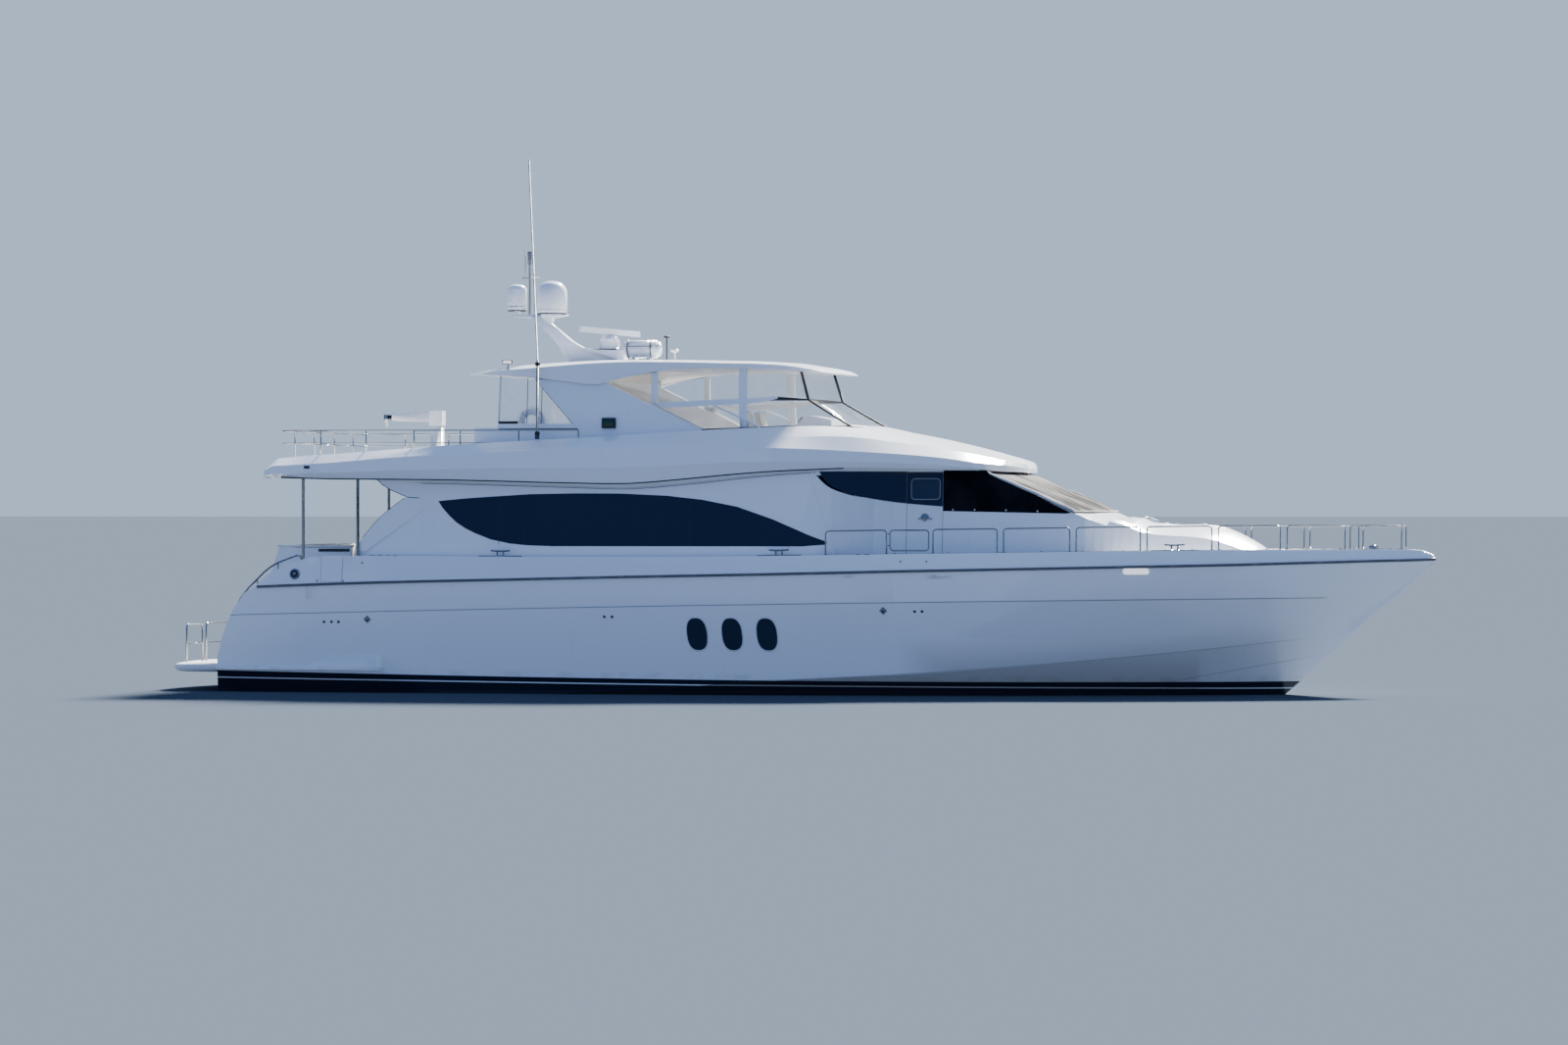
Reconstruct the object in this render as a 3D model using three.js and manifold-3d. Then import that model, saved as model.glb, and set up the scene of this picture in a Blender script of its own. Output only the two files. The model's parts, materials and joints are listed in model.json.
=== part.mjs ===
// Motor yacht, about 24.4 m long, afloat with its whole hull.
// Millimetres. +X is the bow, +Y is port and +Z is up. The origin is amidships, on the centreline, at the waterline.
import * as THREE from "three";
import { mergeVertices } from "three/addons/utils/BufferGeometryUtils.js";
import Module from "manifold-3d";

const wasm = await Module();
wasm.setup();

// Driving dimensions
const GAP = 0.5; // clearance between fixed pieces that touch
const CLEAR = 8; // clearance round a door or a gate
const CAP_WIDTH = 200; // width of the bulwark's top
const AFT_DECK_Z = 1780; // floor of the aft deck and salon
const DECK_STEP_X = 1450; // the side decks step up here
const SIDE_DECK_Z = 2280; // side deck at the step
const DECK_SHEER = 0.012; // rise of the foredeck per millimetre forward
const PLATFORM_TOP = 530;
const PLATFORM_BOTTOM = 370;
const STAIR_OUT_Y = 2600; // stair wells in the stern, between these two
const STAIR_IN_Y = 1850;
const WALL = 60; // deckhouse wall
const BOAT_DECK_Z = 4320; // floor of the boat deck and of the flybridge
const WING_Y = 2130; // outer face of the hardtop's side supports
const FRAME_FOOT_X = -1399; // the flybridge's windows stand on the coaming forward of this
const FRAME_FOOT_Y = 2060; // inner face of the coaming there
const RAIL_R = 14; // stainless rail tube
const SHAFT_Y = 1250; // propeller shafts

// Sections of the hull from transom to stem
const HULL = [
  // x, keelZ, chineY, chineZ, knuckleY, knuckleZ, railY, railZ, capY, capZ
  [-10850, -720, 2720, -50, 2860, 1460, 2900, 1980, 2840, 2600],
  [-9500, -900, 2800, -60, 2950, 1500, 3000, 2040, 2920, 2610],
  [-7500, -1000, 2860, -50, 3040, 1550, 3100, 2110, 3000, 2610],
  [-5000, -1080, 2920, -20, 3120, 1610, 3180, 2170, 3070, 2600],
  [-2500, -1140, 2940, 90, 3160, 1670, 3220, 2230, 3110, 2600],
  [0, -1180, 2920, 270, 3180, 1720, 3240, 2280, 3120, 2620],
  [2500, -1180, 2800, 400, 3140, 1770, 3210, 2340, 3090, 2660],
  [4500, -1120, 2550, 540, 2980, 1800, 3080, 2380, 2960, 2685],
  [6000, -1000, 2220, 670, 2740, 1820, 2880, 2410, 2760, 2707],
  [7500, -800, 1760, 820, 2360, 1840, 2560, 2440, 2440, 2725],
  [8500, -560, 1360, 920, 2000, 1850, 2240, 2460, 2120, 2735],
  [9300, -95, 980, 1000, 1620, 1860, 1900, 2480, 1790, 2737],
  [10000, 540, 560, 1090, 1200, 1870, 1540, 2500, 1440, 2738],
  [10600, 1080, 70, 1180, 800, 1880, 1200, 2515, 1110, 2740],
  [11100, 1535, 40, 1590, 450, 1900, 880, 2530, 800, 2742],
  [11600, 1930, 30, 1985, 100, 2065, 530, 2540, 460, 2740],
  [12000, 2305, 24, 2345, 60, 2385, 240, 2550, 190, 2722],
  [12220, 2490, 20, 2500, 26, 2510, 60, 2560, 50, 2640],
];
const HULL_COLUMNS = ["x", "keelZ", "chineY", "chineZ", "knuckleY", "knuckleZ", "railY", "railZ", "capY", "capZ"];
const RAIL_HALF = 35; // half the height of the rubbing strake

// Sections of the moulding that is the boat deck, the flybridge and the brow
const BRIDGE = [
  // x, lowY, lowZ, kneeY, kneeZ, topY, topZ, crownZ
  [-10170, 1500, 4120, 1560, 4155, 1300, 4175, 4175],
  [-10030, 2380, 4115, 2460, 4165, 2230, 4180, 4180],
  [-9680, 2860, 4108, 2970, 4320, 2650, 4455, 4455],
  [-9500, 2960, 4105, 3060, 4330, 2780, 4480, 4480],
  [-8500, 3040, 4080, 3120, 4380, 2860, 4550, 4550],
  [-7250, 3060, 4070, 3130, 4480, 2860, 4640, 4640],
  [-6000, 3070, 4055, 3140, 4540, 2800, 4730, 4730],
  [-5000, 3080, 4030, 3150, 4590, 2620, 4790, 4790],
  [-3400, 3080, 3990, 3150, 4650, 2500, 4870, 4870],
  [-2640, 3075, 3985, 3145, 4660, 2470, 4915, 4915],
  [-1750, 3055, 4050, 3125, 4670, 2430, 4970, 4970],
  [-840, 3035, 4135, 3105, 4670, 2390, 5015, 5015],
  [60, 3010, 4205, 3080, 4650, 2350, 5050, 5050],
  [950, 2950, 4245, 3020, 4620, 2270, 5065, 5080],
  [1600, 2890, 4268, 2960, 4585, 2160, 5020, 5090],
  [2200, 2810, 4270, 2880, 4550, 2030, 4895, 4965],
  [2900, 2690, 4255, 2760, 4500, 1850, 4765, 4830],
  [3450, 2500, 4240, 2570, 4440, 1680, 4640, 4700],
  [3850, 2230, 4225, 2290, 4380, 1450, 4535, 4590],
  [4180, 1800, 4210, 1850, 4340, 1150, 4420, 4460],
  [4400, 1200, 4200, 1240, 4310, 750, 4340, 4365],
  [4550, 500, 4192, 520, 4270, 300, 4280, 4285],
];
const BRIDGE_COLUMNS = ["x", "lowY", "lowZ", "kneeY", "kneeZ", "topY", "topZ", "crownZ"];

// Sections of the hardtop
const HARDTOP = [
  // x, edgeY, lowZ, edgeZ, crownZ, underZ
  [-6130, 1640, 6084, 6094, 6104, 6088],
  [-5950, 1860, 6076, 6104, 6148, 6086],
  [-5500, 2010, 6058, 6140, 6235, 6080],
  [-4780, 2140, 6006, 6190, 6305, 6085],
  [-3970, 2172, 5924, 6250, 6350, 6095],
  [-3490, 2182, 5868, 6278, 6366, 6108],
  [-3160, 2183, 5944, 6290, 6370, 6115],
  [-2750, 2178, 6034, 6296, 6370, 6122],
  [-2000, 2155, 6150, 6288, 6362, 6138],
  [-970, 2120, 6168, 6264, 6342, 6148],
  [0, 2075, 6136, 6232, 6304, 6130],
  [370, 2020, 6112, 6192, 6252, 6112],
  [600, 1930, 6100, 6152, 6205, 6100],
  [730, 1800, 6094, 6124, 6165, 6094],
  [785, 1640, 6088, 6104, 6128, 6090],
];
const HARDTOP_COLUMNS = ["x", "edgeY", "lowZ", "edgeZ", "crownZ", "underZ"];

// Sections of the low trunk in front of the windscreen
const TRUNK = [
  // x, baseY, topY, edgeZ, crownZ
  [5650, 2262, 2185, 3440, 3480],
  [5960, 2256, 2140, 3390, 3440],
  [6300, 2170, 1960, 3340, 3425],
  [6620, 2080, 1780, 3270, 3385],
  [6950, 1960, 1600, 3130, 3250],
  [7500, 1770, 1350, 3060, 3205],
  [8100, 1500, 1080, 3010, 3190],
  [8480, 1310, 880, 2900, 3060],
  [8750, 1150, 740, 2790, 2925],
  [9020, 1000, 620, 2650, 2760],
  [9250, 760, 400, 2480, 2530],
];
const TRUNK_COLUMNS = ["x", "baseY", "topY", "edgeZ", "crownZ"];

// Finishes
const finish = (color, roughness, metalness, opacity = 1) =>
  new THREE.MeshStandardMaterial({ color, roughness, metalness, opacity, transparent: opacity < 1 });
const WHITE = finish(0xeef0f2, 0.25, 0);
const DECK = finish(0xd9dad6, 0.8, 0);
const STEEL = finish(0xc4c7c9, 0.2, 1);
const DARK_GLASS = finish(0x0b1621, 0.06, 0, 0.92);
const CLEAR_GLASS = finish(0xcfd9dd, 0.05, 0, 0.3);
const CANVAS = finish(0xb9b6ad, 0.9, 0);
const STRAKE = finish(0x5b6064, 0.5, 0.2);
const BRONZE = finish(0xa9823f, 0.35, 0.9);
const VINYL = finish(0xe7e3d8, 0.6, 0);

// A value of a section table at x, on a smooth curve through its rows
function at(table, columns, name, x) {
  const k = columns.indexOf(name);
  const last = table.length - 1;
  const slope = (i) => (table[i + 1][k] - table[i][k]) / (table[i + 1][0] - table[i][0]);
  const tangent = (i) => {
    if (i === 0) return slope(0);
    if (i === last) return slope(last - 1);
    const before = table[i][0] - table[i - 1][0];
    const after = table[i + 1][0] - table[i][0];
    return (slope(i - 1) * after + slope(i) * before) / (before + after);
  };
  let i = 0;
  while (i < last - 1 && x > table[i + 1][0]) i += 1;
  const h = table[i + 1][0] - table[i][0];
  const t = Math.min(1, Math.max(0, (x - table[i][0]) / h));
  const a = 2 * t ** 3 - 3 * t ** 2 + 1;
  const b = t ** 3 - 2 * t ** 2 + t;
  const c = t ** 3 - t ** 2;
  return a * table[i][k] + b * h * tangent(i) + (1 - a) * table[i + 1][k] + c * h * tangent(i + 1);
}
const hullAt = (name, x) => at(HULL, HULL_COLUMNS, name, x);
const bridgeAt = (name, x) => at(BRIDGE, BRIDGE_COLUMNS, name, x);
const hardtopAt = (name, x) => at(HARDTOP, HARDTOP_COLUMNS, name, x);
const trunkAt = (name, x) => at(TRUNK, TRUNK_COLUMNS, name, x);
const wellY = (x) => hullAt("capY", x) - CAP_WIDTH;
const deckZ = (x) => SIDE_DECK_Z + (x - DECK_STEP_X) * DECK_SHEER;

// The rows' own places and one between each two
function stations(table) {
  return table.flatMap((row, i) => (i ? [(row[0] + table[i - 1][0]) / 2, row[0]] : [row[0]]));
}
const HULL_STATIONS = stations(HULL);

// Solids
function solid(geometry) {
  const bare = geometry.index ? geometry.toNonIndexed() : geometry.clone();
  bare.deleteAttribute("normal");
  bare.deleteAttribute("uv");
  const merged = mergeVertices(bare, 1e-3);
  const faces = [];
  for (let i = 0; i < merged.index.count; i += 3) {
    const [a, b, c] = [0, 1, 2].map((k) => merged.index.getX(i + k));
    if (a !== b && b !== c && c !== a) faces.push(a, b, c);
  }
  const build = (list) =>
    new wasm.Manifold(
      new wasm.Mesh({
        numProp: 3,
        vertProperties: merged.attributes.position.array,
        triVerts: new Uint32Array(list),
      }),
    );
  const made = build(faces);
  return made.volume() >= 0 ? made : build(faces.reverse());
}

function geometryOf(made) {
  const mesh = made.getMesh();
  const geometry = new THREE.BufferGeometry();
  geometry.setAttribute("position", new THREE.BufferAttribute(new Float32Array(mesh.vertProperties), 3));
  geometry.setIndex(new THREE.BufferAttribute(new Uint32Array(mesh.triVerts), 1));
  geometry.computeVertexNormals();
  return geometry;
}

// A closed skin through loops that each have the same number of points
function loft(loops) {
  const size = loops[0].length;
  const corners = loops.flat();
  const apart = (a, b) => Math.hypot(...corners[a].map((value, k) => value - corners[b][k]));
  const faces = [];
  for (let i = 0; i < loops.length - 1; i += 1) {
    for (let j = 0; j < size; j += 1) {
      const a = i * size + j;
      const b = i * size + ((j + 1) % size);
      // the shorter diagonal, so that both sides of the boat are alike
      if (apart(a, b + size) < apart(b, a + size)) faces.push(a, b, b + size, a, b + size, a + size);
      else faces.push(a, b, a + size, b, b + size, a + size);
    }
  }
  const cap = (loop, first, turned) => {
    const points = loop.map((p) => new THREE.Vector3(...p));
    const normal = points.reduce(
      (sum, p, i) => sum.add(new THREE.Vector3().crossVectors(p, points[(i + 1) % size])),
      new THREE.Vector3(),
    );
    const turn = new THREE.Quaternion().setFromUnitVectors(normal.normalize(), new THREE.Vector3(0, 0, 1));
    const flat = points.map((p) => p.clone().applyQuaternion(turn)).map((p) => new THREE.Vector2(p.x, p.y));
    for (const t of THREE.ShapeUtils.triangulateShape(flat, [])) {
      faces.push(...(turned ? t.toReversed() : t).map((k) => first + k));
    }
  };
  cap(loops[0], 0, true);
  cap(loops[loops.length - 1], (loops.length - 1) * size, false);
  const geometry = new THREE.BufferGeometry();
  geometry.setAttribute("position", new THREE.Float32BufferAttribute(loops.flat(2), 3));
  geometry.setIndex(faces);
  return solid(geometry);
}

// A loop at x from half of its points, listed from the bottom's middle to the top's middle as [y, z]
function mirrored(x, half) {
  const port = half.map(([y, z]) => [x, y, z]);
  const starboard = half.slice(1, -1).map(([y, z]) => [x, -y, z]);
  return [...port, ...starboard.toReversed()];
}

function box(x0, x1, y0, y1, z0, z1) {
  const made = new THREE.BoxGeometry(x1 - x0, y1 - y0, z1 - z0);
  return solid(made.translate((x0 + x1) / 2, (y0 + y1) / 2, (z0 + z1) / 2));
}

// A shape drawn as x and z, from y0 to y1
function sidePlate(shape, y0, y1, curveSegments = 6) {
  const drawn = (points) => new THREE.Shape(points.map(([x, z]) => new THREE.Vector2(x, z)));
  const outline = shape instanceof THREE.Shape ? shape : drawn(shape);
  const made = new THREE.ExtrudeGeometry(outline, { depth: y1 - y0, bevelEnabled: false, curveSegments });
  return solid(made.rotateX(Math.PI / 2).translate(0, y1, 0));
}

// Points with each inner corner rounded to a radius
function rounded(points, radius, steps = 3) {
  const vectors = points.map((p) => new THREE.Vector3(...p));
  const path = [vectors[0]];
  for (let i = 1; i < vectors.length - 1; i += 1) {
    const corner = vectors[i];
    const reach = (to) => corner.clone().add(to.clone().sub(corner).setLength(radius));
    const bend = new THREE.QuadraticBezierCurve3(reach(vectors[i - 1]), corner, reach(vectors[i + 1]));
    path.push(...bend.getPoints(steps));
  }
  path.push(vectors[vectors.length - 1]);
  return path;
}

// A round bar along points; side is a direction that the path never runs along
function pipe(path, radius, side, sides = 6) {
  const points = path.map((p) => (p.isVector3 ? p : new THREE.Vector3(...p)));
  const loops = points.map((p, i) => {
    const before = points[Math.max(0, i - 1)];
    const after = points[Math.min(points.length - 1, i + 1)];
    const along = after.clone().sub(before).normalize();
    const u = new THREE.Vector3(...side).cross(along).normalize();
    const v = along.clone().cross(u);
    return Array.from({ length: sides }, (_, k) => {
      const angle = (2 * Math.PI * k) / sides;
      const q = p.clone().addScaledVector(u, radius * Math.cos(angle)).addScaledVector(v, radius * Math.sin(angle));
      return q.toArray();
    });
  });
  return loft(loops);
}

const rod = (from, to, radius, sides = 8) => {
  const along = new THREE.Vector3(...to).sub(new THREE.Vector3(...from)).normalize();
  const side = Math.abs(along.y) > 0.9 ? [1, 0, 0] : [0, 1, 0];
  return pipe([from, to], radius, side, sides);
};
const join = (pieces) => pieces.reduce((sum, piece) => sum.add(piece));

// A turned shape about a vertical axis, from its profile of [radius, z]
function turned(profile, x, y, segments = 14) {
  const points = profile.map(([r, z]) => new THREE.Vector2(r, z));
  const made = new THREE.LatheGeometry(points, segments).rotateX(Math.PI / 2);
  return solid(made.translate(x, y, 0));
}

const mirrorY = (made) => made.mirror([0, 1, 0]);

const yacht = new THREE.Group();
function add(name, made, material) {
  const mesh = new THREE.Mesh(geometryOf(made), material);
  mesh.name = name;
  yacht.add(mesh);
}
// The starboard piece, and its mirror image to port
function addPair(name, made, material) {
  add(`${name}_starboard`, made, material);
  add(`${name}_port`, mirrorY(made), material);
}

// Hull: bottom, chine, topsides, bulwark, stern stairs and the wells of the decks
function hullLoop(x) {
  const h = (name) => hullAt(name, x);
  const chine = [h("chineY"), h("chineZ")];
  const knuckle = [h("knuckleY"), h("knuckleZ")];
  const flare = 0.4; // how far out the side is, half-way up to the knuckle
  const side = [chine[0] + (knuckle[0] - chine[0]) * flare, (chine[1] + knuckle[1]) / 2];
  return mirrored(x, [
    [0, h("keelZ")],
    [chine[0] * 0.965, chine[1] - 12],
    chine,
    side,
    knuckle,
    [h("railY"), h("railZ") - RAIL_HALF],
    [h("railY"), h("railZ") + RAIL_HALF],
    [h("capY"), h("capZ")],
    [0, h("capZ")],
  ]);
}

function deckWell(x0, x1, floor) {
  const places = [x0, ...HULL_STATIONS.filter((x) => x > x0 && x < x1), x1];
  const over = 3400;
  return loft(
    places.map((x) => {
      const y = wellY(x);
      const z = floor(x);
      return [[x, -y, z], [x, y, z], [x, y, over], [x, -y, over]];
    }),
  );
}

function sternWing() {
  const profile = [
    [-10880, 550], [-10740, 1040], [-10500, 1570], [-10250, 1890], [-10010, 2040],
    [-9750, 2270], [-9260, 2480], [-8910, 2590], [-8600, 2625],
  ];
  return [...profile, [-8600, 3300], [-13000, 3300], [-13000, 550]];
}

function hull() {
  const transomTop = [-9900, 2760];
  const transomFoot = [-10680, PLATFORM_TOP];
  const centreBlock = sidePlate(
    [[-10849, 400], [-10849, PLATFORM_TOP], transomFoot, transomTop, [-9600, 2760], [-9600, 400]],
    -STAIR_IN_Y,
    STAIR_IN_Y,
  );
  let made = loft(HULL_STATIONS.map(hullLoop));
  made = made.subtract(deckWell(STERN_X, DECK_STEP_X, () => AFT_DECK_Z));
  made = made.subtract(deckWell(DECK_STEP_X - 1, FORE_WELL_X + 10, deckZ));
  made = made.subtract(deckWell(FORE_WELL_X, 11500, () => 2550));
  made = made.subtract(box(-13000, STERN_X + 10, -STAIR_IN_Y, STAIR_IN_Y, AFT_DECK_Z, 3400));
  for (const side of [-1, 1]) {
    const y0 = side > 0 ? STAIR_IN_Y - 1 : -3300;
    made = made.subtract(sidePlate(sternWing(), y0, y0 + 3300 - STAIR_IN_Y + 1));
    const risers = 5;
    const rise = (AFT_DECK_Z - PLATFORM_TOP) / risers;
    for (let k = 0; k <= risers; k += 1) {
      const treadEnd = k === risers ? STERN_X + 20 : -10450 + 300 * k;
      const [a, b] = side > 0 ? [STAIR_IN_Y, STAIR_OUT_Y] : [-STAIR_OUT_Y, -STAIR_IN_Y];
      made = made.subtract(box(-11500, treadEnd, a, b, PLATFORM_TOP + rise * k, 3400));
    }
  }
  made = made.subtract(box(-11500, -9600, -STAIR_IN_Y, STAIR_IN_Y, PLATFORM_TOP, 3400)).add(centreBlock);
  return made.subtract(transomDoorway());
}

// The hull's own moulding ends at the decks. The stern with its stairs stands on it, and a bulwark on each side.
const STERN_X = -9000;
const FORE_WELL_X = 10690;
function mouldings(whole) {
  const seam = 0.4;
  const under = [
    [-13000, -2000], [-13000, PLATFORM_TOP], [STERN_X, PLATFORM_TOP], [STERN_X, AFT_DECK_Z],
    [DECK_STEP_X, AFT_DECK_Z], [DECK_STEP_X, SIDE_DECK_Z], [FORE_WELL_X, deckZ(FORE_WELL_X)],
    [FORE_WELL_X, 2550], [13000, 2550], [13000, -2000],
  ];
  const lower = sidePlate(under, -3500, 3500);
  const upper = whole.subtract(lower).subtract(lower.translate([-seam, 0, seam]));
  const starboard = box(STERN_X, 13000, -3500, -seam / 2, 1000, 3500);
  return {
    bottom: whole.intersect(lower),
    stern: upper.intersect(box(-13000, STERN_X - seam, -3500, 3500, 0, 3500)),
    starboard: upper.intersect(starboard),
    port: upper.intersect(mirrorY(starboard)),
  };
}

// The crew door in the raked transom lies in this plane
const TRANSOM_RAKE = Math.atan2(780, 2230); // from vertical
const DOOR_FOOT = [-10610, 730]; // x and z of the doorway's foot on the transom face
function inTransom(made) {
  return solid(geometryOf(made).rotateY(TRANSOM_RAKE).translate(DOOR_FOOT[0], 0, DOOR_FOOT[1]));
}
const DOOR_W = 700;
const DOOR_H = 1450;
const DOOR_T = 50;
function transomDoorway() {
  return inTransom(box(-400, 62, -DOOR_W / 2, DOOR_W / 2, 0, DOOR_H));
}
function transomDoor() {
  const slab = box(4, 4 + DOOR_T, -DOOR_W / 2 + CLEAR, DOOR_W / 2 - CLEAR, CLEAR, DOOR_H - CLEAR);
  const handle = box(-30, 6, -DOOR_W / 2 + 60, -DOOR_W / 2 + 90, 600, 760);
  return inTransom(slab.add(handle));
}

// Rubbing strake: one moulding round the bow, on the same places as the hull's sections
function rubbingStrake() {
  const proud = 42;
  const from = -9980;
  const places = [from, ...HULL_STATIONS.filter((x) => x > from)];
  const ring = (x, side) => {
    const y = hullAt("railY", x) + GAP;
    const z = hullAt("railZ", x);
    const half = RAIL_HALF - 3;
    return [
      [x, side * y, z - half], [x, side * (y + proud), z - half + 12],
      [x, side * (y + proud), z + half - 12], [x, side * y, z + half],
    ];
  };
  const tipX = HULL[HULL.length - 1][0] + GAP;
  const tipZ = HULL[HULL.length - 1][7];
  const tip = [
    [tipX, 0, tipZ - 32], [tipX + proud, 0, tipZ - 20],
    [tipX + proud, 0, tipZ + 20], [tipX, 0, tipZ + 32],
  ];
  return loft([...places.map((x) => ring(x, -1)), tip, ...places.toReversed().map((x) => ring(x, 1))]);
}

// Swim platform with sockets for its rails, and the ledges that run forward from it along the hull
const PLATFORM_RAIL_X = -11790;
const PLATFORM_RAILS = [[-1800, -850], [-620, 1750]]; // each from y to y
const RAIL_SOCKET = 40; // depth
function swimPlatform() {
  const half = [[-10851, 2700], [-11450, 2690], [-11680, 2560], [-11900, 2210], [-12110, 1220], [-12190, 0]];
  const levels = [
    // z, how far the edge lies inside the widest outline
    [PLATFORM_BOTTOM, 90], [400, 25], [450, 0], [495, 12], [520, 45], [PLATFORM_TOP, 90],
  ];
  const slab = loft(
    levels.map(([z, inset]) => {
      const side = half.map(([x, y], i) => [x + (i ? inset : 0), Math.max(0, y - inset), z]);
      return [...side, ...side.slice(0, -1).toReversed().map(([x, y]) => [x, -y, z])];
    }),
  );
  const sockets = PLATFORM_RAILS.flat().map((y) =>
    rod([PLATFORM_RAIL_X, y, PLATFORM_TOP - RAIL_SOCKET], [PLATFORM_RAIL_X, y, PLATFORM_TOP + 10], 23),
  );
  return slab.subtract(join(sockets));
}

function sternLedge() {
  const places = [-10840, ...HULL_STATIONS.filter((x) => x > -10840 && x < -7500), -7500];
  return loft(
    places.map((x) => {
      const inner = -hullAt("chineY", x) + 60;
      const out = inner - 60 - 150 + ((x + 10840) / 3340) * 70;
      return [[x, inner, 390], [x, out, 430], [x, out, 480], [x, inner, 490]];
    }),
  );
}

// Outer half-width of the deckhouse
const HOUSE_BEND = [900, 2300]; // the side walls turn inboard between these
const PILOTHOUSE_Y = 2330;
const HOUSE_END = 5950; // forward end of the side walls
function houseY(x) {
  const wide = wellY(x) - 1;
  const t = THREE.MathUtils.smoothstep(x, HOUSE_BEND[0], HOUSE_BEND[1]);
  const narrow = PILOTHOUSE_Y - 30 * THREE.MathUtils.smoothstep(x, 4000, 6000);
  return wide * (1 - t) + narrow * t;
}

// A curved strip of the house's side between two depths under its outer face
function houseStrip(x0, x1, z0, z1, from, to) {
  const step = 350;
  const inner = HULL_STATIONS.filter((x) => x > x0 + 1 && x < x1 - 1);
  const bend = Array.from({ length: 5 }, (_, k) => HOUSE_BEND[0] + k * step).filter((x) => x > x0 && x < x1);
  const places = [...new Set([x0, ...inner, ...bend, x1])].sort((a, b) => a - b);
  return loft(
    places.map((x) => {
      const lean = THREE.MathUtils.lerp(0.02, 0.075, THREE.MathUtils.smoothstep(x, ...HOUSE_BEND));
      const low = houseY(x) - lean * (z0 - AFT_DECK_Z);
      const high = houseY(x) - lean * (z1 - AFT_DECK_Z);
      return [[x, -low + from, z0], [x, -high + from, z1], [x, -high + to, z1], [x, -low + to, z0]];
    }),
  );
}

// The salon's long window
function salonWindow(inset = 0) {
  const shape = new THREE.Shape();
  shape.moveTo(-6380 + 1.6 * inset, 3650 - inset);
  shape.splineThru([
    new THREE.Vector2(-5360, 3730 - inset), new THREE.Vector2(-4200, 3775 - inset),
    new THREE.Vector2(-2670, 3780 - inset), new THREE.Vector2(-1530, 3690 - inset),
    new THREE.Vector2(-390, 3450 - inset), new THREE.Vector2(1180 - 4 * inset, 2880 + inset),
  ]);
  shape.lineTo(-390, 2840 + inset);
  shape.lineTo(-2670, 2805 + inset);
  shape.splineThru([
    new THREE.Vector2(-4200, 2800 + inset), new THREE.Vector2(-4970, 2850 + inset),
    new THREE.Vector2(-5650, 3040 + inset), new THREE.Vector2(-6030 + inset, 3300 + inset),
    new THREE.Vector2(-6380 + 1.6 * inset, 3650 - inset),
  ]);
  return shape;
}

// The pilothouse windows: aft of the side door, and forward of it
function aftSideWindow(inset = 0) {
  const shape = new THREE.Shape();
  shape.moveTo(960 + 2 * inset, 4130 - inset);
  shape.lineTo(2480 - inset, 4180 - inset);
  shape.lineTo(2480 - inset, 3625 + inset);
  shape.lineTo(1900, 3705 + inset);
  shape.splineThru([
    new THREE.Vector2(1560, 3760 + inset), new THREE.Vector2(1190 + inset, 3910 + inset),
    new THREE.Vector2(960 + 2 * inset, 4130 - inset),
  ]);
  return shape;
}
const forwardSideWindow = (inset = 0) => [
  [3340 + inset, 4150 - inset], [3950 - inset, 4150 - inset],
  [5430 - 3 * inset, 3440 + inset], [3340 + inset, 3480 + inset],
];

const SPLIT_FOOT = [1450, 2280]; // the salon and pilothouse mouldings meet on this slanting line
const SPLIT_HEAD = [760, 4400];
const SIDE_DOOR = { x0: 2560, x1: 3260, z0: 2330, z1: 4200 };

function salonSide(bridge) {
  const outline = [
    [-8100, AFT_DECK_Z + GAP], [-8100, 2610], [-7770, 2960], [-7380, 3340], [-7050, 3590], [-6750, 3700],
    [-6990, 3760], [-7280, 3870], [-7620, 4080], [-7700, 4400],
    [SPLIT_HEAD[0] - 1, 4400], [SPLIT_FOOT[0] - 1, 2280], [SPLIT_FOOT[0] - 1, AFT_DECK_Z + GAP],
  ];
  const wall = houseStrip(-8200, 1500, AFT_DECK_Z, 4300, 0, WALL);
  return wall
    .intersect(sidePlate(outline, -3300, -2000))
    .subtract(sidePlate(salonWindow(), -3300, -2000))
    .subtract(bridge.translate([0, 0, -1]));
}

function pilothouseSide(bridge) {
  const outline = [
    [SPLIT_FOOT[0] + 1, deckZ(SPLIT_FOOT[0]) + GAP], [SPLIT_HEAD[0] + 1, 4400], [4020, 4400], [4130, 4145],
    [5800, 3395], [HOUSE_END, 3395], [HOUSE_END, deckZ(HOUSE_END) + GAP],
  ];
  const d = SIDE_DOOR;
  const wall = houseStrip(700, 5955, 2270, 4360, 0, WALL);
  return wall
    .intersect(sidePlate(outline, -3300, -1500))
    .subtract(sidePlate(aftSideWindow(), -3300, -1500))
    .subtract(sidePlate(forwardSideWindow(), -3300, -1500))
    .subtract(box(d.x0, d.x1, -3300, -1500, d.z0, d.z1))
    .subtract(screenSheet(2500, -13, 600, -400, -400))
    .subtract(bridge.translate([0, 0, -1]));
}

const pane = (shape, x0, x1) =>
  houseStrip(x0, x1, 2270, 4300, 10, 24).intersect(sidePlate(shape, -3300, -1500));

// The side door hangs at its forward edge
const DOOR_PANE = [[2680, 3640], [2680, 4070], [3150, 4070], [3150, 3640]];
function sideDoor() {
  const d = SIDE_DOOR;
  const leaf = houseStrip(d.x0 + CLEAR, d.x1 - CLEAR, d.z0 + CLEAR, d.z1 - CLEAR, 0, 48);
  const recess = houseStrip(d.x0, d.x1, d.z0, d.z1, -10, 14).intersect(sidePlate(DOOR_PANE, -3300, -1500));
  return leaf.subtract(recess);
}

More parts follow.
